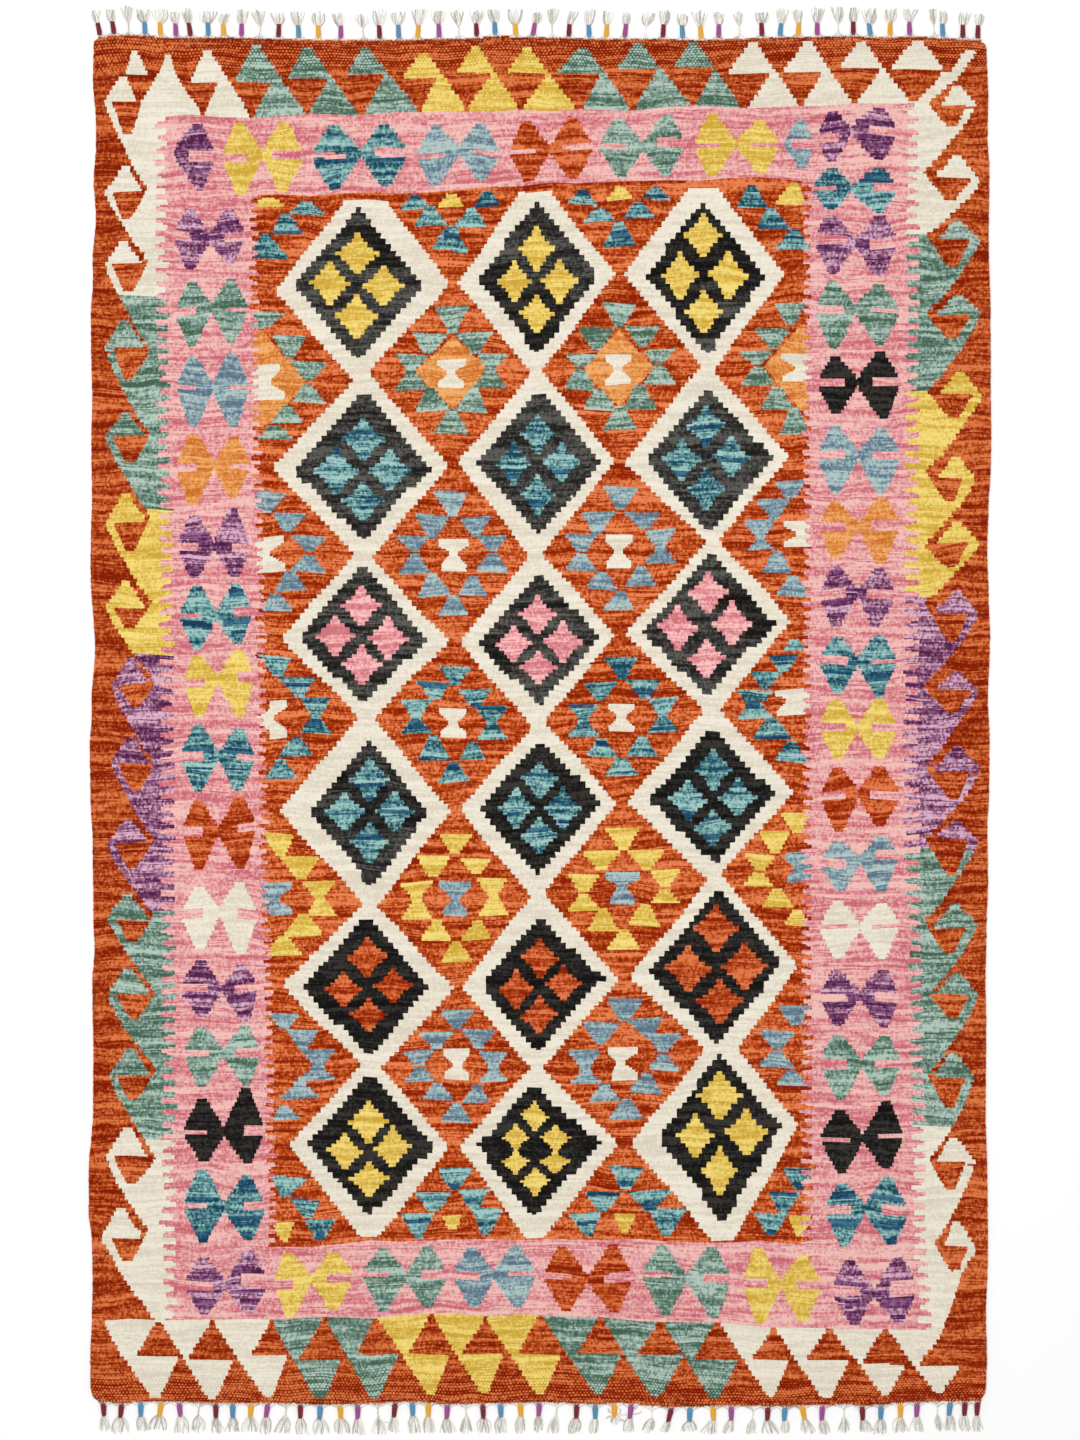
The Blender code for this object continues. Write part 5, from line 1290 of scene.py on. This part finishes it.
def spin_yarn(name, strands, sides, material):
    """One piece of many strands. Each strand is its points, its half thickness and a number."""
    mesh = bpy.data.meshes.new(f"{name}_paths")
    mesh.from_pydata([point for path, _, _ in strands for point in path], [], [])
    lengths = [len(path) for path, _, _ in strands]
    for key, kind, values in (
        ("strand", "INT", np.repeat(np.arange(len(strands)), lengths)),
        ("order", "FLOAT", np.concatenate([np.arange(n) for n in lengths])),
        ("half", "FLOAT", np.repeat([half for _, half, _ in strands], lengths)),
        ("wrap", "FLOAT", np.repeat([wrap for _, _, wrap in strands], lengths)),
    ):
        mesh.attributes.new(key, kind, "POINT").data.foreach_set("value", values)
    paths = bpy.data.objects.new(f"{name}_paths", mesh)
    bpy.context.scene.collection.objects.link(paths)
    spun = paths.modifiers.new("yarn", "NODES")
    spun.node_group = along_paths
    spun[sides_input.identifier] = sides
    spun[material_input.identifier] = material
    evaluated = paths.evaluated_get(bpy.context.evaluated_depsgraph_get())
    piece_mesh = bpy.data.meshes.new_from_object(evaluated)
    piece_mesh.name = name
    piece = bpy.data.objects.new(name, piece_mesh)
    bpy.context.scene.collection.objects.link(piece)
    bpy.data.objects.remove(paths, do_unlink=True)
    return piece


def woven_end(x, way):
    """The outer edge of the last wefts, in metres. way is 1 at the upper end and -1 at the lower."""
    line = upper_end if way == 1 else lower_end
    chart_y = float(np.interp(x / SQUARE + CHART_MIDDLE[0], [p[0] for p in line], [p[1] for p in line]))
    return (CHART_MIDDLE[1] - chart_y) * SQUARE + way * (EDGE_ROUNDING + STRIP_GAP + STRIP_WIDTH)


def curved(start, bend, finish, share):
    """A place on the curve from start to finish that is drawn towards the bend."""
    return [a * (1 - share) ** 2 + 2 * b * share * (1 - share) + c * share * share
            for a, b, c in zip(start, bend, finish)]


def last_wefts(end, way, around):
    """The last wefts: a flat madder cord along the rug's end, lumpy where the warps leave it."""
    low_x, high_x = STRIP_ENDS[way]
    strip_vertices, strip_faces = [], []
    for step in range(STRIP_STEPS + 1):
        x = low_x + (high_x - low_x) * step / STRIP_STEPS
        y = woven_end(x, way)
        lump = 1 + 0.12 * math.sin(x / LUMP_TO_HOLLOW * math.pi) + around(0.05)
        strip_vertices += [(x, y + way * out * MM, height * MM * (lump if height > 0 else 1))
                           for out, height in STRIP_SECTION]
    count = len(STRIP_SECTION)
    for step in range(STRIP_STEPS):
        for i in range(count):
            a, b = step * count + i, step * count + (i + 1) % count
            quad = (a, b, b + count, a + count)
            strip_faces.append(quad[::-1] if way == -1 else quad)
    first_cap, last_cap = tuple(range(count)), tuple(range(STRIP_STEPS * count, (STRIP_STEPS + 1) * count))
    strip_faces += [first_cap[::-1], last_cap] if way == 1 else [first_cap, last_cap[::-1]]
    strip_mesh = bpy.data.meshes.new(f"{end}_last_wefts")
    strip_mesh.from_pydata(strip_vertices, [], strip_faces)
    for name, value in (("yarn", YARN_NAMES.index("madder")), ("skein", 3 + way)):
        layer = strip_mesh.attributes.new(name, "FLOAT", "FACE")
        layer.data.foreach_set("value", np.full(len(strip_faces), value, dtype=np.float32))
    weave_layer = strip_mesh.uv_layers.new(name="weave")
    for loop in strip_mesh.loops:
        x, y, z = strip_vertices[loop.vertex_index]
        weave_layer.data[loop.index].uv = (x, y - woven_end(x, way) + z + way * ASIDE)
    strip_mesh.materials.append(wool)
    strip = bpy.data.objects.new(f"{end}_last_wefts", strip_mesh)
    bpy.context.scene.collection.objects.link(strip)
    return strip


def gathered_warps(at, way, middle, lean, bare, around):
    """The warps gathered into a neck, some from well to either side along the rug's end. They come over
    the strip, run together at the neck's mouth and go down into it."""
    nearest, furthest = [(x - middle) / MM for x in STRIP_ENDS[way]]
    strands = []
    for k in GATHERED:
        wide = GATHER_REACH[way] * k + around(0.7)
        wide = min(max(wide, nearest + 3.0), furthest - 3.0)
        gather = MOUTH_SPREAD[bare] * k
        strands.append((
            [at(wide, -1.3, 2.9), at(wide * 0.82, 0.2, 2.9), at(wide * 0.5 + gather * 0.3, 1.5, 3.0),
             at(gather * 1.2, 4.2 - 0.8 * abs(k), 3.2), at(gather + lean * 0.3, 7.0, 2.2)],
            0.6 * MM, 0))
    return strands


def neck_paths(at, way, neck, lean, bare):
    """The neck: a coil of dyed wool, or two bare strands twisted together."""
    turns, steps = (BARE_TURNS, BARE_STEPS) if bare else (WRAP_TURNS, WRAP_TURNS * STEPS_A_TURN)
    root = 0.0 if bare else COIL_BEGINS[way]
    middle = BARE_MIDDLE if bare else WRAP_HEIGHT / 2
    high = BARE_RADIUS if bare else WRAP_HEIGHT / 2 - WRAP_YARN / 2
    paths = []
    for twist in ((0, math.pi) if bare else (0,)):
        path = []
        for i in range(steps + 1):
            share = i / steps
            turn = 2 * math.pi * turns * share + twist
            out = root + (neck - root) * share
            flare = ROOT_FLARE[way] - (ROOT_FLARE[way] - TIP_FLARE) * share
            wide = BARE_RADIUS if bare else (WRAP_WIDTH / 2 - COIL_INSET) * flare
            path.append(at(lean * out / neck + wide * math.cos(turn), out, middle + high * math.sin(turn)))
        paths.append(path)
    return paths


def brush(at, way, neck, tassel, bare, around):
    """Loose ends that spread from the neck, frayed and uneven."""
    _, lean, brush_lean, brush_width, reach = tassel
    narrow, root = NECK_SPREAD[bare], neck - INSIDE_NECK
    strands = []
    for number in range(BRUSH_ENDS):
        k = -1 + 2 * (number + 0.5) / BRUSH_ENDS + around(END_STRAYS)
        layer = around(1.0)      # -1 at the bottom of the brush, and 1 at its top
        tip_x = brush_lean + k * brush_width * SPREAD[way] + around(TIP_STRAYS)
        tip_out = reach + 3.0 - abs(k) * OUTER_SHORTER - abs(around(ANY_SHORTER))
        bend_spread = brush_width * (SPREAD[way] + 0.02) + narrow * 0.4
        bend_x = (lean * 1.2 + brush_lean) / 2 + k * bend_spread + around(BEND_STRAYS)
        bend_out = neck + (tip_out - neck) * (0.32 + around(0.12))
        start = (lean * root / neck + k * narrow, root, 2.3 + layer * 0.9)
        bend = (bend_x, bend_out, 2.2 + layer * 1.2)
        tip = (tip_x, tip_out, 1.0 + abs(layer) * 1.0)
        curl = around(CURL)
        path = []
        for i in range(CURVE_STEPS + 1):
            share = i / CURVE_STEPS
            x, out, height = curved(start, bend, tip, share)
            path.append(at(x + curl * math.sin(share * math.pi * 1.5) * share, out, height))
        strands.append((path, WARP_YARN / 2 * MM * (0.85 + abs(around(0.3))), 0))
    return strands


def stray_ends(way, around):
    """The ends that have worked loose, each lot of them side by side."""
    strands = []
    for start, bend, finish, together in STRAY_ENDS:
        for _ in range(together):
            path = []
            for i in range(CURVE_STEPS + 1):
                x, out = [part + around(0.3) for part in curved(start, bend, finish, i / CURVE_STEPS)]
                path.append((x * MM, woven_end(x * MM, way) + way * out * MM, (1.2 + around(0.4)) * MM))
            strands.append((path, WARP_YARN / 2 * MM, 0))
    return strands


def warp_dots(way, around):
    """The warps' own ends between the tassels, which show as pale dots along the last weft."""
    low_x, high_x = STRIP_ENDS[way]
    strands = []
    for x in np.arange(low_x + 2 * MM, high_x, DOT_SPACING):
        x = float(x) + around(0.8) * MM
        y = woven_end(x, way)
        strands.append((
            [(x, y - way * 0.5 * MM, 2.3 * MM), (x + around(0.4) * MM, y + way * 0.2 * MM, 1.7 * MM),
             (x + around(0.6) * MM, y + way * (0.4 + abs(around(0.5))) * MM, 0.8 * MM)], 0.42 * MM, 0))
    return strands


def tassel_frame(middle, way):
    """Gives back a function for a tassel's points: x to the right of its place, out from the rug's end,
    and up, in millimetres."""
    foot = woven_end(middle, way)

    def at(x, out, height):
        return middle + x * MM, foot + way * out * MM, height * MM

    return at


def make_fringe(end, way, tassels, wraps):
    """The last wefts and the tassels of one end. Gives back its three pieces."""
    lay_by_hand = np.random.default_rng(11 + way)

    def around(spread):
        """An unevenness of the hand, up to so much either way."""
        return float(lay_by_hand.uniform(-spread, spread))

    strip = last_wefts(end, way, around)
    cotton_strands, wool_strands = [], []
    for tassel, wrap in zip(tassels, wraps):
        middle, lean, bare = tassel[0] * MM, tassel[1], wrap == "W"
        at = tassel_frame(middle, way)
        cotton_strands += gathered_warps(at, way, middle, lean, bare, around)
        neck = NECK_LENGTH + around(1.0)
        for path in neck_paths(at, way, neck, lean, bare):
            if bare:
                cotton_strands.append((path, BARE_YARN / 2 * MM, 0))
            else:
                wool_strands.append((path, WRAP_YARN / 2 * MM, list(WRAP_COLOURS).index(wrap)))
        cotton_strands += brush(at, way, neck, tassel, bare, around)
    if way == -1:
        cotton_strands += stray_ends(way, around)
    cotton_strands += warp_dots(way, around)
    ends = spin_yarn(f"{end}_warp_ends", cotton_strands, 4, cotton)
    coils = spin_yarn(f"{end}_neck_bindings", wool_strands, 5, binding)
    for piece, finish in ((strip, "kilim_wool"), (ends, "fringe_cotton"), (coils, "fringe_cotton")):
        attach(piece, "root")
        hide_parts(f"fringe_{end}")
    return [strip, ends, coils]


fringes = make_fringe("upper", 1, UPPER_TASSELS, UPPER_WRAPS)
fringes += make_fringe("lower", -1, LOWER_TASSELS, LOWER_WRAPS)
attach(cloth, "root")
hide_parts("rug_cloth")

# ---------------------------------------------------------------------------------------------------
# The floor, the light and the camera: a plain pale board, lit softly and evenly from above as in a
# studio. The camera looks straight down, from far enough off to show the rug flat, as the picture does.
FLOOR_REACH, FLOOR_TOP = 30.0, -0.4 * MM      # so far that no edge shows, and just under the rug
floor_mesh = bpy.data.meshes.new("floor")
floor_mesh.from_pydata([(x * FLOOR_REACH, y * FLOOR_REACH, FLOOR_TOP)
                        for x, y in ((-1, -1), (1, -1), (1, 1), (-1, 1))], [], [(0, 1, 2, 3)])
floor = bpy.data.objects.new("floor", floor_mesh)
bpy.context.scene.collection.objects.link(floor)
# Matt white paint, with hardly any shine.
paint, tree, shader = new_material("matt_white_paint")
shader.inputs["Base Color"].default_value = linear("#FFFFFF")
shader.inputs["Roughness"].default_value = 0.9
floor_mesh.materials.append(paint)
floor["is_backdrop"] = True

# One broad lamp overhead, a little up and to the left, and even light from all round.
LAMP_PLACE, LAMP_TILT = (-0.35, 0.45, 4.2), (math.radians(-6), math.radians(-5), 0)
LAMP_SIZE, LAMP_POWER = 3.0, 124      # metres and watts
EVEN_LIGHT = 0.485
light = bpy.data.lights.new("overhead_light", "AREA")
light.shape, light.size, light.energy = "SQUARE", LAMP_SIZE, LAMP_POWER
lamp = bpy.data.objects.new("overhead_light", light)
lamp.location, lamp.rotation_euler = LAMP_PLACE, LAMP_TILT
bpy.context.scene.collection.objects.link(lamp)
world = bpy.data.worlds.new("studio")
bpy.context.scene.world = world
world.use_nodes = True
world.node_tree.nodes["Background"].inputs["Color"].default_value = linear("#FFFFFF")
world.node_tree.nodes["Background"].inputs["Strength"].default_value = EVEN_LIGHT
bpy.context.scene.view_settings.view_transform = "Standard"

FRAME_LENGTH = 1440 * SQUARE          # the picture's longer side
CAMERA_HEIGHT = 8.0                   # metres over the rug
SENSOR_WIDTH, SENSOR_HEIGHT = 27, 36
lens = bpy.data.cameras.new("camera")
lens.sensor_fit, lens.sensor_height, lens.sensor_width = "VERTICAL", SENSOR_HEIGHT, SENSOR_WIDTH
lens.lens = SENSOR_HEIGHT * CAMERA_HEIGHT / FRAME_LENGTH
lens.clip_end = 100
camera = bpy.data.objects.new("camera", lens)
camera.location = (0, 0, CAMERA_HEIGHT + CLOTH_TOP)
bpy.context.scene.collection.objects.link(camera)
bpy.context.scene.camera = camera

low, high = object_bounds()
{"cad": [list(corner) for corner in CAD_BOX], "scene": [list(low), list(high)]}
